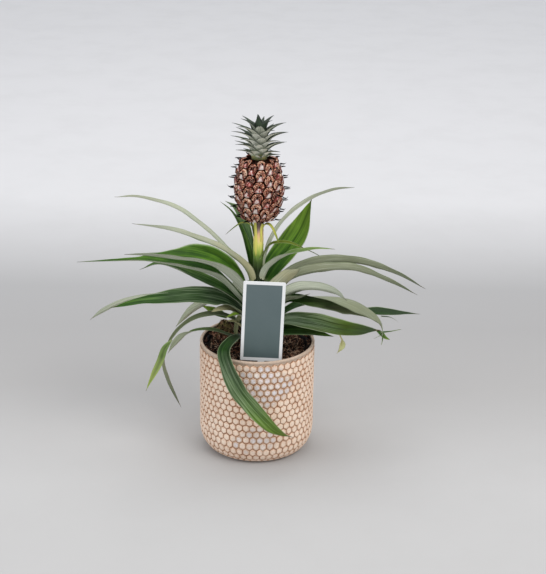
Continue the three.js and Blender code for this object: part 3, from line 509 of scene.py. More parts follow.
def fruit_look():
    """Reads eye (across -1..1, up -1..1, seed) and rind (kind 0 shield, 1 bract, 2 spine;
    raised 0..1; share of the bract's length)."""
    look = Look("pineapple_rind")
    across, up, seed = look.field("eye")
    kind, raised, reach = look.field("rind")
    spot = look.place()
    grit, fleck = noise(spot, 1.3, 4, 0.65), noise(spot, 0.5, 3, 0.6)
    glint = noise(spot, 0.75, 4, 0.7, 0.6)
    ring = (across * across + up * up).root()
    wrinkle = (ring * 24 + fleck * 14).sine()
    tone = fleck * 0.65 + grit * 0.3 + wrinkle * 0.08 + seed * 0.16
    rind = ramp(
        tone, (0.45, 0.012, 0.001, 0.0005), (0.54, 0.16, 0.014, 0.005), (0.585, 0.6, 0.1, 0.035),
        (0.635, 1, 0.36, 0.17), (0.68, 1, 0.78, 0.58))
    shield = layers(
        # Painted highlight: pale pink streaks on the wrinkle ridges.
        rind, (span(wrinkle, 0.2, 0.9) * span(glint, 0.46, 0.58) * 0.9, (1, 0.72, 0.54)),
        (span(glint, 0.28, 0.4, 0.75, 0), (0.03, 0.01, 0.008)),
        # Toward its outline the shield darkens to near black: dark seams between the eyes, deepened with
        # painted shade.
        (span(raised, 0.12, 0.95, 0.97, 0), (0.01, 0.004, 0.003)))
    pale = fleck * 0.8 + glint * 0.4 + (seed - 0.25) * 0.26
    pink = ramp(
        pale, (0.51, 0.14, 0.012, 0.008), (0.575, 0.62, 0.09, 0.06), (0.63, 1, 0.36, 0.29),
        (0.7, 1, 0.88, 0.82))
    bract = layers(
        pink, (span(abs(across) + (fleck - 0.5) * 0.6, 0.3, 0.8), (0.18, 0.03, 0.018)),
        (span(reach, 0.65, 0.95), (0.04, 0.01, 0.007)))
    colour = layers(shield, (span(kind, 0.3, 0.7), bract), (span(kind, 1.3, 1.7), (0.006, 0.004, 0.003)))
    look.put(look.shader["Specular IOR Level"], span(raised, 0.5, 0.9) * span(kind, 1.3, 1.7, 0.4, 0))
    return look.finish(colour, span(grit, 0.3, 0.75, 0.2, 0.42), bump(wrinkle * 0.3 + grit, 0.8, 0.001))


def crown_look():
    """Silvery crown leaves: dark margins and points, green to reddish roots. Reads what the
    other leaves do."""
    look = Look("crown_leaf", 0.35)
    across, along, seed = look.field("blade")
    side, share, under = look.field("share")
    light, _, _ = look.field("tone")
    fine = noise(vector(across / 0.5, along / 9, seed), 1, 3, 0.6)
    mottle = noise(look.place(), 0.6, 4, 0.65)
    tone = fine * 0.6 + mottle * 0.4 + light * 0.17
    silver = ramp(
        tone, (0, 0.06, 0.09, 0.055), (0.28, 0.4, 0.43, 0.34), (0.42, 0.94, 0.93, 0.76), (0.6, 1, 1, 0.86))
    inner = ramp(tone, (0.3, 0.012, 0.02, 0.012), (0.5, 0.045, 0.07, 0.04), (0.75, 0.22, 0.27, 0.2))
    green = ramp(tone, (0.3, 0.14, 0.19, 0.07), (0.55, 0.34, 0.42, 0.19), (0.75, 0.5, 0.56, 0.3))
    dark = span(abs(side), 0.8, 0.98).at_least(span(share, 0.68, 0.95, 0, 0.9))
    colour = layers(
        green, (span(share, 0.05, 0.4), mix(under, inner, silver)),
        (dark * span(share, 0.15, 0.45, 0.2, 1), (0.025, 0.038, 0.025)),
        (span(share, 0, 0.22, 0.8, 0) * span(mottle, 0.45, 0.62), (0.42, 0.22, 0.08)))
    return look.finish(colour, span(mottle, 0.3, 0.7, 0.5, 0.7), bump(fine + mottle * 0.5, 0.4, 0.0003))


def label_look():
    """White card with a plain slate panel. Reads card (x mm, y mm up, side 1 front)."""
    look = Look("label_card", 0.5)
    x, y, side = look.field("card")
    spot = look.place()
    cloud, grain = noise(spot, 0.05, 2), noise(spot, 3, 2)

    def edge(value, place, *ends):
        return span(value, place - 0.2, place + 0.2, *ends)

    low, high = edge(y, LABEL_BORDER + 0.5), edge(y, LABEL_HEIGHT - LABEL_BORDER - 0.3, 1, 0)
    inside = edge(abs(x), LABEL_WIDTH / 2 - LABEL_BORDER, 1, 0) * (low * high) * span(side, 0.45, 0.55)
    panel = mix(span(y, 0, LABEL_HEIGHT), (0.085, 0.125, 0.125), (0.105, 0.145, 0.15))
    panel = mix(span(cloud, 0.35, 0.65, 0, 0.25), panel, (0.12, 0.16, 0.165))
    colour = mix(inside, (0.86, 0.87, 0.87), panel)
    return look.finish(colour, span(cloud, 0.3, 0.7, 0.5, 0.6), bump(grain, 0.06, 0.0002))


def floor_look():
    """Pale grey studio paper on a flat floor, with painted shade and light for a sheet curving up behind
    the object: darker in a band, then lighter further back.
    """
    look = Look("studio_floor", 0.1)
    spot = look.node("TexCoord", output="Object")
    back = span(look.parts(spot)[1], -1, 3, kind="LINEAR")
    paper = ramp(
        back, (0, 0.46, 0.455, 0.45), (0.22, 0.475, 0.47, 0.465), (0.29, 0.4, 0.392, 0.386),
        (0.34, 0.375, 0.369, 0.367), (0.38, 0.385, 0.382, 0.382), (0.43, 0.52, 0.517, 0.52),
        (0.49, 0.66, 0.657, 0.662), (0.6, 0.7, 0.696, 0.702), (1, 0.84, 0.836, 0.838))
    colour = mix(span(noise(spot, 9, 6, 0.65), 0.4, 0.7, 0, 0.06), paper, (0.35, 0.34, 0.33))
    return look.finish(colour, 0.9)


# ---- mesh building

class Skin:
    """Surface patches collected into one mesh, each point with named vectors."""

    def __init__(self):
        self.points, self.faces, self.fields, self.count = [], [], {}, 0

    def add(self, points, faces, **fields):
        points = np.reshape(points, (-1, 3))
        self.points.append(points)
        self.faces += [[int(i) + self.count for i in face] for face in faces]
        for key, value in fields.items():
            value = np.broadcast_to(np.reshape(value, (-1, 3)), points.shape)
            self.fields.setdefault(key, []).append(value)
        self.count += len(points)

    def add_rings(self, rings, flip=False, **fields):
        """Closed rings of points, each joined to the next"""
        rings = np.array(rings)
        self.add(rings, grid_faces(*rings.shape[:2], flip), **fields)

    def piece(self, name, material, node, slot, smooth=True):
        mesh = bpy.data.meshes.new(name)
        mesh.from_pydata((np.concatenate(self.points) * MM).tolist(), [], self.faces)
        for key, values in self.fields.items():
            layer = mesh.attributes.new(key, "FLOAT_VECTOR", "POINT")
            layer.data.foreach_set("vector", np.concatenate(values).astype(np.float32).ravel())
        mesh.polygons.foreach_set("use_smooth", [smooth] * len(mesh.polygons))
        mesh.materials.append(material)
        mesh.validate()
        mesh.update()
        made = add_object(name, mesh)
        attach(made, "root")
        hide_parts(node)


def grid_faces(rows, columns, flip=False):
    """Quads between closed rings of points"""
    faces = []
    for i in range(rows - 1):
        for j in range(columns):
            k = (j + 1) % columns
            quad = (i * columns + j, i * columns + k, (i + 1) * columns + k, (i + 1) * columns + j)
            faces.append(quad[::-1] if flip else quad)
    return faces


def fan_faces(first, count, centre, flip=False):
    """Triangles from a ring of points to a middle point"""
    ring = [first + i for i in range(count)]
    return [(b, a, centre) if flip else (a, b, centre) for a, b in zip(ring, ring[1:] + ring[:1])]


def numbers(text):
    """Rows of numbers: commas between the rows, spaces between the numbers"""
    return [[float(word) for word in row.split()] for row in text.split(",")]


def spline(stations, steps):
    """A smooth run through the stations (uniform Catmull-Rom, ends mirrored)"""
    p = np.array(stations, float)
    p = np.vstack([2 * p[0] - p[1], p, 2 * p[-1] - p[-2]])
    runs = len(p) - 3
    t = np.linspace(0, runs, steps + 1)
    j = np.minimum(t.astype(int), runs - 1)
    u = (t - j)[:, None]
    a, b, c, d = p[j], p[j + 1], p[j + 2], p[j + 3]
    return 0.5 * (2 * b + (c - a) * u + (2 * a - 5 * b + 4 * c - d) * u**2 + (3 * b - a - 3 * c + d) * u**3)


def unit(v):
    return v / np.maximum(np.linalg.norm(v, axis=-1, keepdims=True), 1e-9)


def spread(values, share):
    """One or several numbers, spread from the root of the blade to its tip"""
    return np.interp(share, np.linspace(0, 1, len(values)), values)


def vectors(*parts):
    """Vectors of three parts, each a number or a grid"""
    return np.stack(np.broadcast_arrays(*parts), -1)


def polar(radius, angle, height):
    return vectors(radius * np.cos(angle), radius * np.sin(angle), height)


def turns(count):
    return np.linspace(0, TURN, count, endpoint=False)


def turned(profile, sides):
    """Rings of points for rows of (radius, height)"""
    profile = np.array(profile, float)
    return polar(profile[:, :1], turns(sides), profile[:, 1:])


def compass(angle):
    """The level ways out and to the left at a turn"""
    return np.array([math.cos(angle), math.sin(angle), 0]), np.array([-math.sin(angle), math.cos(angle), 0])


def lengths(run):
    """The way covered at each point, as a column"""
    return np.cumsum([0, *np.linalg.norm(np.diff(run, axis=0), axis=1)])[:, None]


def both_faces(upper, lower):
    """Columns of a thin sheet's upper face, then its lower face turned back"""
    return np.concatenate([upper, lower[:, ::-1]], axis=1)


def closed_sheet(middle, across, normal, wide, height, body):
    """Rings round a sheet along its midrib: height is the shape, body half its thickness"""
    level = middle[:, None] + across[:, None] * wide[..., None]
    return both_faces(*(level + normal[:, None] * (height + way * body)[..., None] for way in (1, -1)))


def add_blade(skin, azimuth, fold, stations, seed, looks, thick=0.8, columns=11, step=4, start=8,
              wave=0.5, scurf=1):
    """One leaf blade as a closed sheet: channelled, thicker at the midrib, thin wavy margins."""
    out, beside = compass(math.radians(azimuth))
    stations = [(*station, 0)[:5] for station in numbers(stations)]
    length = lengths(spline(stations, 40)[:, [0, 1, 4]])[-1, 0]
    run = spline(stations, max(12, int(length / step)))
    middle = run[:, :1] * out + run[:, 4:] * beside + run[:, 1:2] * UP
    first = max(0, int(np.argmax(np.hypot(middle[:, 0], middle[:, 1]) >= start)) - 1)
    run, middle = run[first:], middle[first:]
    along = lengths(middle)
    share = along / along[-1]
    forward = unit(np.gradient(middle, axis=0))
    level = unit(beside - forward * (forward @ beside)[:, None])
    over = np.cross(forward, level)
    roll = np.radians(run[:, 2:3])
    across = level * np.cos(roll) + over * np.sin(roll)
    normal = over * np.cos(roll) - level * np.sin(roll)
    half = np.maximum(run[:, 3:4] / 2, 0.5) * np.clip((1 - share) * 14, 0.12, 1) ** 0.6
    phase = np.random.default_rng(seed).uniform(0, TURN, 4)
    x = np.linspace(-1, 1, columns)[None]
    x = np.sin(x * math.pi / 2) * 0.35 + x * 0.65
    edge, way = np.abs(x), np.sign(x)
    channel = (np.sqrt(x**2 + 0.03) - 0.173) / 0.842
    body = thick * (0.62 - 0.34 * edge) * np.clip(1.25 - share, 0.35, 1)
    ripple = wave * np.sin(along / 9 + phase[0] + way * phase[1]) * edge**3
    ripple = ripple + 0.5 * wave * np.sin(along / 4.1 + phase[2] + way * phase[3]) * edge**5
    ripple = ripple * np.clip(half / 7, 0, 1) * np.clip(share * 6, 0, 1)
    shape = channel * half * math.sin(math.radians(fold)) + ripple
    wide = x * half * math.cos(math.radians(fold))
    ring = closed_sheet(middle, across, normal, wide, shape, body)
    rows, count = ring.shape[:2]
    side = both_faces(x, x)
    looks = [np.repeat(spread(value, share), count, 1) for value in (numbers(looks) + [[0]] * 5)[:6]]
    fields = {"blade": vectors(side * half, along, seed % 17),
              "share": vectors(side, share, np.repeat([0, scurf], columns)),
              "tone": vectors(*looks[:3]), "bloom": vectors(*looks[3:])}
    for key, value in fields.items():
        value = value.reshape(-1, 3)
        fields[key] = np.vstack([value, value[[0, -1]]])
    fields["share"][-2:] = (0, 0, 0.5), (0, 1, 0.5)
    ends = [ring[0].mean(0), ring[-1].mean(0) + forward[-1] * 0.6]
    faces = grid_faces(rows, count, True) + fan_faces(0, count, rows * count, True)
    faces += fan_faces((rows - 1) * count, count, rows * count + 1)
    skin.add(np.vstack([ring.reshape(-1, 3), ends]), faces, **fields)


# ---- pot

def pot_wall(share):
    """Radius and height of the outer wall at a share of the way up to the lip band"""
    wide, tall = POT_RADIUS - FOOT_RADIUS, FOOT_ROUND
    arc = (math.pi / 2) * math.sqrt((wide**2 + tall**2) / 2)
    way = share * (arc + LIP_FOOT - tall)
    turn = np.clip(way / arc, 0, 1) * (math.pi / 2)
    return FOOT_RADIUS + wide * np.sin(turn), tall * (1 - np.cos(turn)) + np.maximum(way - arc, 0)


def pot_point(column, way, depth):
    radius, height = pot_wall(way)
    under = np.clip(1 - height / FOOT_ROUND, 0, 1)
    radius = radius - depth * (1 - under / 3)
    return polar(radius, column * TURN / TILE_COLUMNS, height + depth * under / 2)


def make_pot():
    skin, rng = Skin(), np.random.default_rng(11)
    rise = 1 / (TILE_ROWS + 1 / 3)
    corners = np.array([[0, -2 / 3], [0.5, -1 / 3], [0.5, 1 / 3], [0, 2 / 3], [-0.5, 1 / 3], [-0.5, -1 / 3]])
    hexagon = np.stack([corners, (corners + np.roll(corners, -1, axis=0)) / 2], 1).reshape(12, 2)
    soft = hexagon / np.linalg.norm(hexagon * [1, 0.93], axis=1)[:, None] * 0.5
    last = 12 * (len(TILE_RINGS) - 1)
    faces = grid_faces(len(TILE_RINGS), 12) + fan_faces(last, 12, last + 12)
    for row in range(TILE_ROWS):
        for column in range(TILE_COLUMNS):
            middle = np.array([column + (row % 2) / 2, row + 2 / 3])
            jitter, proud, seed = rng.normal(0, 0.02, 2), rng.normal(0, 0.05), rng.uniform()
            points, relief = [], []
            for scale, depth, raised, round_off in TILE_RINGS:
                loose = scale < 0.9
                flat = middle + (hexagon * (1 - round_off) + soft * round_off) * scale + jitter * loose
                points.append(pot_point(flat[:, 0], flat[:, 1] * rise, depth + proud * loose))
                relief += [(raised, seed, 0)] * 12
            centre = middle + jitter
            points.append(pot_point(centre[:1], centre[1:] * rise, 0.08 + proud))
            skin.add(np.vstack(points), faces, relief=[*relief, (2, seed, 0)])
    count = 2 * TILE_COLUMNS
    steps = np.arange(count)
    odd_row = (TILE_ROWS - 1) % 2
    high = pot_point(steps / 2, (TILE_ROWS + np.where((steps + odd_row) % 2, 0, 1 / 3)) * rise, TILE_RELIEF)
    low = pot_point(steps / 2, np.where(steps % 2, 1 / 3, 0) * rise, TILE_RELIEF)
    inner = POT_RADIUS - POT_WALL
    lip = [(POT_RADIUS - 0.9, LIP_FOOT + 0.5), (POT_RADIUS - 0.25, LIP_FOOT + 1.1),
           (POT_RADIUS, POT_HEIGHT - 1.6), (POT_RADIUS - 0.3, POT_HEIGHT - 0.6), (POT_RADIUS - 1, POT_HEIGHT),
           (inner + 1, POT_HEIGHT), (inner + 0.3, POT_HEIGHT - 0.5), (inner, POT_HEIGHT - 1.4)]
    walls = [(inner, z) for z in (POT_HEIGHT - 1.6, 125, 100, 70, FOOT_ROUND)]
    walls += [(inner - 5, 16), (FOOT_RADIUS - POT_WALL, POT_FLOOR), (20, POT_FLOOR), (0.5, POT_FLOOR)]
    foot = [(0.5, 0), (20, 0), (44, 0), (FOOT_RADIUS - 2, 0)]
    skin.add_rings([high, *turned(lip, count)], relief=(0.6, 0.5, 1))
    skin.add_rings(turned(walls, count), relief=(0.15, 0.4, 2))
    skin.add_rings([*turned(foot, count), low], relief=(0.1, 0.3, 0.5))
    skin.piece("pot_honeycomb", pot_look(), "pot", "pot_clay")


def nursery_radius(z):
    share = (z - POT_FLOOR) / (NURSERY_RIM - POT_FLOOR)
    return NURSERY_FOOT + (NURSERY_TOP - NURSERY_FOOT) * share


def make_nursery_pot():
    skin = Skin()
    low, foot, top, rim = POT_FLOOR + 0.3, NURSERY_FOOT, NURSERY_TOP, NURSERY_RIM
    profile = [(0.5, low), (foot - 2, low), (foot, low + 1.5)]
    profile += [(nursery_radius(z) - 1, z) for z in (30, 60, 90, 120, 128)]
    profile += [(top - 0.5, rim - 5.4), (top, rim - 4.6), (top, rim - 1.4), (top - 0.2, rim - 0.5),
                (top - 0.8, rim), (top - 1.6, rim - 0.2), (top - 2.1, rim - 1)]
    profile += [(nursery_radius(130) - 2.2, 129)]
    profile += [(nursery_radius(z) - 2.2, z) for z in (126, 100, 60, 20)]
    profile += [(foot - NURSERY_WALL, low + NURSERY_WALL), (0.5, low + NURSERY_WALL)]
    skin.add_rings(turned(profile, 144))
    skin.piece("growing_pot", nursery_look(), "nursery_pot", "black_plastic")


# ---- soil

def from_clump(x, y):
    """The distance squared from the mossy clump"""
    return (x - CLUMP[0]) ** 2 + (y - CLUMP[1]) ** 2


def soil_height(x, y):
    clump = 21 * np.exp(-from_clump(x, y) / 190)
    shoulder = 5 * np.exp(-(x * x + y * y) / 500)
    rim = 5.5 * np.clip(np.hypot(x, y) / 61, 0, 1.05) ** 6
    waves = 1.1 * np.sin(x * 0.31 + 1.3 * np.sin(y * 0.22)) * np.sin(y * 0.27 + 0.7)
    waves = waves + 0.7 * np.sin(x * 0.83 + 2.1) * np.sin(y * 0.71 + x * 0.2)
    return SOIL_TOP + clump + shoulder + rim + waves


def make_soil():
    skin, rng = Skin(), np.random.default_rng(5)
    edge, sides = nursery_radius(SOIL_TOP) - SOIL_CLEARANCE, 150
    top = turned([(radius, 0) for radius in (STEM_HOLE, *np.linspace(STEM_CLEARING, edge, 56))], sides)
    x, y = top[..., 0], top[..., 1]
    top[..., 2] = soil_height(x, y) + rng.normal(0, 0.55, x.shape)
    top[-1, :, 2] -= 2.5
    low = POT_FLOOR + NURSERY_WALL + 0.6
    walls = [(nursery_radius(z) - 2.9, z) for z in (SOIL_TOP - 8, 60)]
    walls += [(NURSERY_FOOT - NURSERY_WALL - 0.3, low), (0.5, low)]
    rings = np.concatenate([turned([(STEM_HOLE, STEM_FOOT - 0.3)], sides), top, turned(walls, sides)])
    mossy = np.exp(-from_clump(rings[..., 0], rings[..., 1]) / 260)
    crumb = vectors(np.clip(mossy * 2.4, 0, 2) * (mossy > 0.25), rng.uniform(0, 1, mossy.shape), 0)
    skin.add_rings(rings, True, crumb=crumb)
    add_crumbs(skin, rng, edge - 2)
    add_fibres(skin, rng, edge - 3)
    add_rim_crumbs(skin, rng)
    skin.piece("soil_bed", soil_look(), "soil", "potting_soil")


CUBE = np.array([[x, y, z] for x in (-1, 1) for y in (-1, 1) for z in (-1, 1)], float)
CUBE_FACES = [(0, 1, 3, 2), (4, 6, 7, 5), (0, 4, 5, 1), (2, 3, 7, 6), (0, 2, 6, 4), (1, 5, 7, 3)]


def random_turn(rng):
    q, r = np.linalg.qr(rng.normal(size=(3, 3)))
    q = q * np.sign(np.diag(r))
    return q if np.linalg.det(q) > 0 else -q


def rough_cube(rng, size, least, most):
    return CUBE * size * rng.uniform(least, most) * rng.uniform(0.7, 1.1, (8, 1))


def somewhere(rng, edge, inner):
    """A random place on the soil, evenly spread"""
    radius, angle = edge * math.sqrt(rng.uniform(inner, 1)), rng.uniform(0, TURN)
    return radius * math.cos(angle), radius * math.sin(angle)


def add_crumbs(skin, rng, edge):
    """Bits of bark and peat strewn over the soil, more of them mossy on the clump"""
    for i in range(LOOSE_CRUMBS):
        on_clump = i % 4 == 0
        x, y = rng.normal(CLUMP, 10, 2) if on_clump else somewhere(rng, edge, 0.04)
        if not STEM_CLEARING <= math.hypot(x, y) <= edge:
            continue
        size = (rng.gamma(3, 0.26) + 0.3) * (0.75 if on_clump else 1)
        shape = rough_cube(rng, size, (0.5, 0.3, 0.2), (1.5, 0.9, 0.5))
        z = float(soil_height(x, y)) + rng.uniform(-0.3, 0.7) * size
        points = shape @ random_turn(rng).T + [x, y, z]
        kind = 2 if on_clump and rng.uniform() < 0.75 else 1
        skin.add(points, CUBE_FACES, crumb=(kind, rng.uniform() ** 1.6, 0))


def add_fibres(skin, rng, edge):
    """Thin coir fibres that curl over the soil"""
    steps = np.linspace(0, 1, 7)
    for _ in range(LOOSE_FIBRES):
        x, y = somewhere(rng, edge, 0.05)
        heading, bend = rng.uniform(0, TURN), rng.normal(0, 0.3)
        length, thick = rng.uniform(3, 11), rng.uniform(0.18, 0.42)
        turn = heading + bend * steps * 4
        x = x + np.cumsum(np.cos(turn)) * length / 7
        y = y + np.cumsum(np.sin(turn)) * length / 7
        away = np.hypot(x, y)
        if away.max() >= edge + 1 or away.min() < STEM_CLEARING:
            continue
        arch = np.sin(steps * math.pi) * rng.uniform(0.2, 2.2)
        centre = vectors(x, y, soil_height(x, y) + 0.3 + arch)
        beside = unit(vectors(-np.sin(turn), np.cos(turn), 0))
        taper = thick * (1 - 0.6 * np.abs(steps * 2 - 1))
        skin.add_rings(tube(centre, taper, beside[:, None], 4), crumb=(1, rng.uniform(0.4, 1.15), 0))


def tube(centre, thick, beside, sides):
    around = turns(sides)[:, None]
    return centre[:, None] + thick[:, None, None] * (beside * np.cos(around) + UP * np.sin(around))


def add_rim_crumbs(skin, rng):
    """Soil spilled on the growing pot's rim and into the gap beside it"""
    top = NURSERY_TOP
    for _ in range(RIM_CRUMBS):
        angle, radius = rng.uniform(0, TURN), rng.uniform(top - 3.2, top + 0.9)
        size = rng.gamma(3, 0.22) + 0.3
        shape = rough_cube(rng, size, (0.5, 0.4, 0.25), (1.3, 0.9, 0.5))
        z = NURSERY_RIM + (0.25 * size if radius < top - 0.3 else -0.4)
        points = shape @ random_turn(rng).T + polar(radius, angle, z)
        skin.add(points, CUBE_FACES, crumb=(1, rng.uniform() ** 1.5, 0))


# ---- stem

def make_stem():
    skin = Skin()
    sides = 56
    profile = [(0.3, STEM_FOOT), (TRUNK_RADIUS - 1, STEM_FOOT), (TRUNK_RADIUS, STEM_FOOT + 8)]
    profile += [(TRUNK_RADIUS, z) for z in np.linspace(STEM_FOOT + 14, TRUNK_TOP, 14)]
    profile += [(STALK_RADIUS + 1.6, 204), (STALK_RADIUS + 0.8, STALK_START)]
    taper = [STALK_START, STALK_START + 20, STALK_TOP - 8], STALK_RADIUS + np.array([0.8, 0, -0.5])
    profile += [(np.interp(z, *taper), z) for z in np.linspace(STALK_START + 6, STALK_TOP - 8, 22)]
    profile += [(STALK_RADIUS - 0.1, STALK_TOP - 5), (STALK_RADIUS + 0.8, STALK_TOP - 2),
                (STALK_RADIUS + 1.5, STALK_TOP), (0.3, STALK_TOP)]
    profile, angles = np.array(profile), turns(sides)
    ridges = 1 + 0.05 * np.sin(angles * 7 + 0.6) + 0.03 * np.sin(angles * 13)
    radius = profile[:, :1] * ridges + 0.12 * np.sin(profile[:, 1:] * 0.9 + angles * 3)
    blade = vectors(angles * STALK_RADIUS, profile[:, 1:], 3)
    skin.add_rings(polar(radius, angles, profile[:, 1:]), blade=blade)
    skin.piece("stem_stalk", stalk_look(), "stem", "stalk")

    leaves = Skin()
    for k, (azimuth, fold, light, stations) in enumerate(BRACTS):
        add_blade(leaves, azimuth, fold, stations, 60 + k, light + ", 0, 0.6", thick=0.6, columns=9,
                  step=2.2, start=4.5, wave=0.3, scurf=0.1)
    leaves.piece("stalk_bracts", SHEATH, "stem", "stalk")


# ---- leaves

def make_leaf(number, azimuth, fold, kind, looks, stations):
    name = f"leaf_{number:02d}"
    skin = Skin()
    add_blade(skin, azimuth, fold, stations, 99 + number, looks)
    for k, (owner, turn, lean, torn_looks, run) in enumerate(SHREDS):
        if owner == number:
            add_blade(skin, turn, lean, run, 139 + number + k, torn_looks, thick=0.6, step=2.5)
    skin.piece(name + "_blade", WITHERED if kind == "withered" else LEAF, name, "leaf_" + kind)


# ---- fruit

def fruit_point(column, share, proud):
    """A point on the rind. Shares under 0 and over 1 turn inward over the fruit's two ends."""
    inner = np.clip(share, 0, 1)
    over = np.abs(share - inner) * FRUIT_HEIGHT
    belly = np.sin(math.pi * (0.13 + 0.69 * inner))
    radius = FRUIT_RADIUS * belly**0.55 * (1.03 - 0.06 * inner) + proud - 0.95 * over
    angle = (column + EYE_TWIST * share) / EYE_COLUMNS * TURN
    return polar(radius, angle, FRUIT_BOTTOM + inner * FRUIT_HEIGHT + np.sign(share - inner) * 0.25 * over)


def add_eye(skin, column, middle, height, rng):
    """A domed shield with a sunken middle, its pointed bract and the bract's hooked spine"""
    corners = np.array([[-2 / 3, 0], [-1 / 3, -0.5], [1 / 3, -0.5], [2 / 3, 0], [1 / 3, 0.5], [-1 / 3, 0.5]])
    ahead = np.roll(corners, -1, axis=0)
    outline = np.stack([corners * (1 - s) + ahead * s for s in (0, 1 / 3, 2 / 3)], 1).reshape(-1, 2)
    soft = outline / np.linalg.norm(outline / [0.62, 0.5], axis=1)[:, None]
    seed, fat, jitter = rng.uniform(), rng.uniform(0.8, 1.2), rng.normal(0, 0.035, 2)
    count = len(outline)
    points, eye, rind = [], [], []
    for scale, proud, raised in EYE_RINGS:
        round_off = np.clip((1 - scale) * 4, 0, 1)
        x, y = ((outline * (1 - round_off) + soft * round_off) * scale).T
        bumps = 0.3 * np.sin(np.arange(count) * 1.7 + seed * 40 + scale * 9) * (scale < 0.9)
        move = jitter * round_off
        points.append(fruit_point(column + move[0] + x, middle + (move[1] + y) * height, proud * fat + bumps))
        eye.append(vectors(x / 0.6, y / 0.5, seed))
        rind += [(0, raised, 0)] * count
    points.append([fruit_point(column, middle, 1.7 * fat)])
    eye.append([(0, 0, seed)])
    rind.append((0, 0.8, 0))
    last = (len(EYE_RINGS) - 1) * count
    faces = grid_faces(len(EYE_RINGS), count, True) + fan_faces(last, count, last + count, True)
    skin.add(np.vstack(points), faces, eye=np.vstack(eye), rind=rind)
    add_eye_bract(skin, column, middle, height, seed, fat, rng)


def add_eye_bract(skin, column, middle, height, seed, fat, rng):
    columns = 7
    v = np.linspace(0, 1, 9)[:, None]
    x = np.linspace(-1, 1, columns)[None]
    lean = rng.normal(0, 0.03)
    half = rng.uniform(0.38, 0.52) * (1 - v) ** 0.75 + 0.012
    up = middle + (rng.uniform(0.5, 0.7) * v - 0.47) * height
    proud = EYE_RELIEF * fat * np.clip(v * 5, 0.35, 1) + 0.5 + 1.5 * v**2 + 0.9 * (1 - x**2) * (1 - 0.6 * v)
    sheet = [fruit_point(column + x * half + lean * v, up, proud + way) for way in (0.3, -0.3)]
    eye = vectors(both_faces(x, x), v * 2 - 1, seed)
    rind = vectors(1, 1, np.repeat(v, 2 * columns, 1))
    skin.add_rings(both_faces(*sheet), eye=eye, rind=rind)

    base = fruit_point(column + lean, middle + 0.13 * height, EYE_RELIEF * fat + 1.6)
    out = unit(base * (1, 1, 0))
    beside = np.array([-out[1], out[0], 0])
    length = EYE_SPINE * rng.uniform(0.95, 1.4)
    t = np.linspace(0, 1, 8)[:, None]
    sway, curl = rng.normal(0, 0.9), rng.uniform(-0.5, 1.9)
    rise = curl * (3.4 * t**2.2 - 1.8 * t)
    centre = base + out * (np.sqrt(t) * (length - 1.2)) + UP * rise + beside * sway * t**2
    rings = tube(centre, 0.75 * (1 - t[:, 0]) ** 0.7 + 0.12, beside, 6)
    points = np.vstack([rings.reshape(-1, 3), centre[-1] + out * 0.3])
    skin.add(points, grid_faces(8, 6) + fan_faces(42, 6, 48), eye=(0, 1, seed), rind=(2, 1, 1))


def make_fruit():
    skin, rng = Skin(), np.random.default_rng(21)
    height = 1 / (EYES_IN_A_COLUMN + 0.5)
    for column in range(EYE_COLUMNS):
        odd = column % 2
        for k in range(-odd, EYES_IN_A_COLUMN + 1 - odd):
            add_eye(skin, column, (k + 0.5 + odd / 2) * height, height, rng)
    count = 96
    angle = np.linspace(0, EYE_COLUMNS, count, endpoint=False)
    rings = [(0, -8), *((s, -0.4) for s in np.linspace(0.02, 0.98, 14)), (1, -6)]
    core = [fruit_point(angle, share, proud) for share, proud in rings]
    ends = [np.tile((0, 0, z), (count, 1)) for z in (FRUIT_BOTTOM, FRUIT_BOTTOM + FRUIT_HEIGHT)]
    skin.add_rings([ends[0], *core, ends[1]], eye=(0, 0, 0.3), rind=(0, 0, 0))
    skin.piece("fruit_eyes", fruit_look(), "fruit", "fruit_rind")


# ---- crown

def crown_blade(skin, angle, points, width, seed, light):
    """One crown leaf: it hugs the core, then arches out to a flat point."""
    out, beside = compass(angle)
    columns = 7
    t = np.linspace(0, 1, 15)[:, None]
    x = np.linspace(-1, 1, columns)[None]
    a, b, c, d = [out * p[0] + UP * p[1] for p in points]
    middle = a * (1 - t) ** 3 + 3 * b * t * (1 - t) ** 2 + 3 * c * t**2 * (1 - t) + d * t**3
    normal = np.cross(unit(np.gradient(middle, axis=0)), beside)
    half = width / 2 * np.interp(t, *CROWN_TAPER)
    channel = half * 0.6 * (np.sqrt(x**2 + 0.05) - 0.2)
    body = 0.4 * (1 - 0.5 * np.abs(x)) * (1.15 - t)
    ring = closed_sheet(middle, beside[None], normal, x * half, channel, body)
    side = both_faces(x, x)
    blade = vectors(side * half, lengths(middle), seed % 23)
    share = vectors(side, t, np.repeat([0, 1], columns))
    skin.add_rings(ring, True, blade=blade, share=share, tone=(light, 0, 0))


def make_crown():
    skin, rng = Skin(), np.random.default_rng(8)
    golden = math.pi * (3 - math.sqrt(5))
    for i in range(CROWN_BLADES):
        share = i / (CROWN_BLADES - 1)
        tip = CROWN_BOTTOM + 5 + (CROWN_HEIGHT - 5.3) * share**0.85
        reach = np.interp(share, *CROWN_REACH)
        root = max(tip - np.interp(share, *CROWN_RISE), CROWN_BOTTOM + 0.8)
        rise, hug = tip - root, 8 - 6 * share
        points = [(hug, root), (hug + 0.14 * reach, root + 0.7 * rise), (0.55 * reach, tip - 0.12 * rise),
                  (reach, tip)]
        light = rng.uniform(-1, 1) - 4 * max(0, share - 0.85) / 0.15
        crown_blade(skin, i * golden, points, 12 + 2 * share, i, light)
    core = [(radius, CROWN_BOTTOM + z) for radius, z in ((0.2, 0), (9, 0), (9, 5), (6, 16), (1, 27))]
    skin.add_rings(turned(core, 32), blade=(0, 0, 1), share=(0, 0, 0), tone=(-0.5, 0, 0))
    skin.piece("crown_rosette", crown_look(), "crown", "crown_leaf")


# ---- label

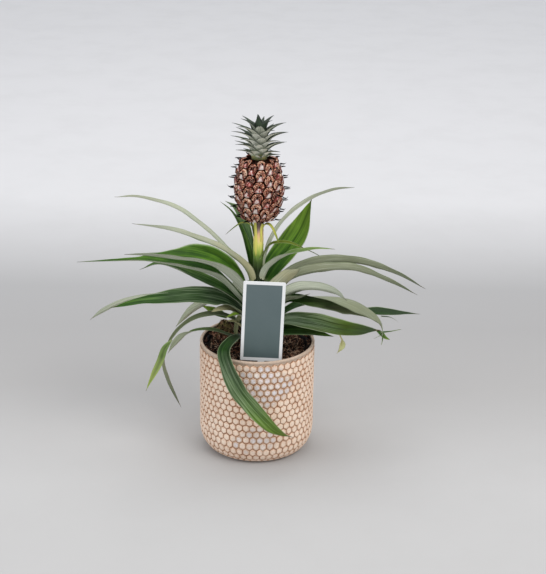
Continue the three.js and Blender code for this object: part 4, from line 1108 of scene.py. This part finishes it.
def rounded_card(half, high, corner):
    """Outline of the card, seven points to a corner"""
    turn = np.radians(np.arange(-90, 270, 90)[:, None] + np.arange(0, 91, 15))
    x = (half - corner) * np.array([[1], [1], [-1], [-1]]) + corner * np.cos(turn)
    y = np.array([[corner], [high - corner], [high - corner], [corner]]) + corner * np.sin(turn)
    return np.stack([x, y], -1).reshape(-1, 2)


def add_flat(skin, outline, rings):
    """A tilted flat plate with eased edges: rings are (inset, offset from the middle plane),
    and a ring without an inset is the plate's middle."""
    tilt = math.radians(LABEL_TILT)
    centre = outline.mean(0)
    points, card = [], []
    for inset, depth in rings:
        flat = outline * 0 + centre if inset is None else outline - unit(outline - centre) * inset
        x, z = flat.T
        level, up = x * math.cos(tilt) + z * math.sin(tilt), z * math.cos(tilt) - x * math.sin(tilt)
        points.append(vectors(level, depth, up) + LABEL_PLACE)
        card.append(vectors(x, z, depth < 0))
    skin.add_rings(points, card=np.array(card, float))


def make_label():
    skin = Skin()
    edge = LABEL_THICK / 2
    rings = [(None, edge), (0.15, edge), (0, edge * 0.5), (0, -edge * 0.5), (0.15, -edge), (None, -edge)]
    add_flat(skin, rounded_card(LABEL_WIDTH / 2, LABEL_HEIGHT, LABEL_CORNER), rings)
    half, shoulder = SPIKE_WIDTH / 2, -SPIKE_LENGTH * 0.7
    spike = [(half, 1), (half, shoulder), (1, -SPIKE_LENGTH)]
    spike += [(-x, y) for x, y in spike[::-1]]
    edge *= 0.9
    add_flat(skin, np.array(spike), [(None, edge), (0, edge), (0, -edge), (None, -edge)])
    skin.piece("label_plate", label_look(), "label", "label_card", smooth=False)


def make_floor():
    mesh = bpy.data.meshes.new("studio_floor")
    corners = [(x * FLOOR_REACH, y * FLOOR_REACH, 0) for x, y in ((-1, -1), (1, -1), (1, 1), (-1, 1))]
    mesh.from_pydata(corners, [], [(0, 1, 2, 3)])
    mesh.materials.append(floor_look())
    floor = add_object("studio_floor", mesh)


scene.view_settings.view_transform = "Standard"
make_camera()
make_lights()
make_floor()
LEAF = leaf_look("leaf_blade", (0.004, 0.018, 0.003), (0.025, 0.082, 0.009), (0.13, 0.27, 0.028),
                 (0.24, 0.27, 0.18), (0.66, 0.7, 0.56))
SHEATH = leaf_look("stalk_leaf", (0.03, 0.04, 0.006), (0.2, 0.27, 0.03), (0.78, 0.72, 0.16),
                   (0.3, 0.32, 0.08), (0.8, 0.76, 0.3), 0.5)
WITHERED = leaf_look("leaf_withered_blade", (0.4, 0.4, 0.14), (0.66, 0.68, 0.26), (0.84, 0.82, 0.42),
                     (0.5, 0.5, 0.2), (0.8, 0.8, 0.42), 0.6)
make_pot()
make_nursery_pot()
make_soil()
make_stem()
for number, leaf in enumerate(LEAVES, 1):
    make_leaf(number, *leaf)
make_fruit()
make_crown()
make_label()
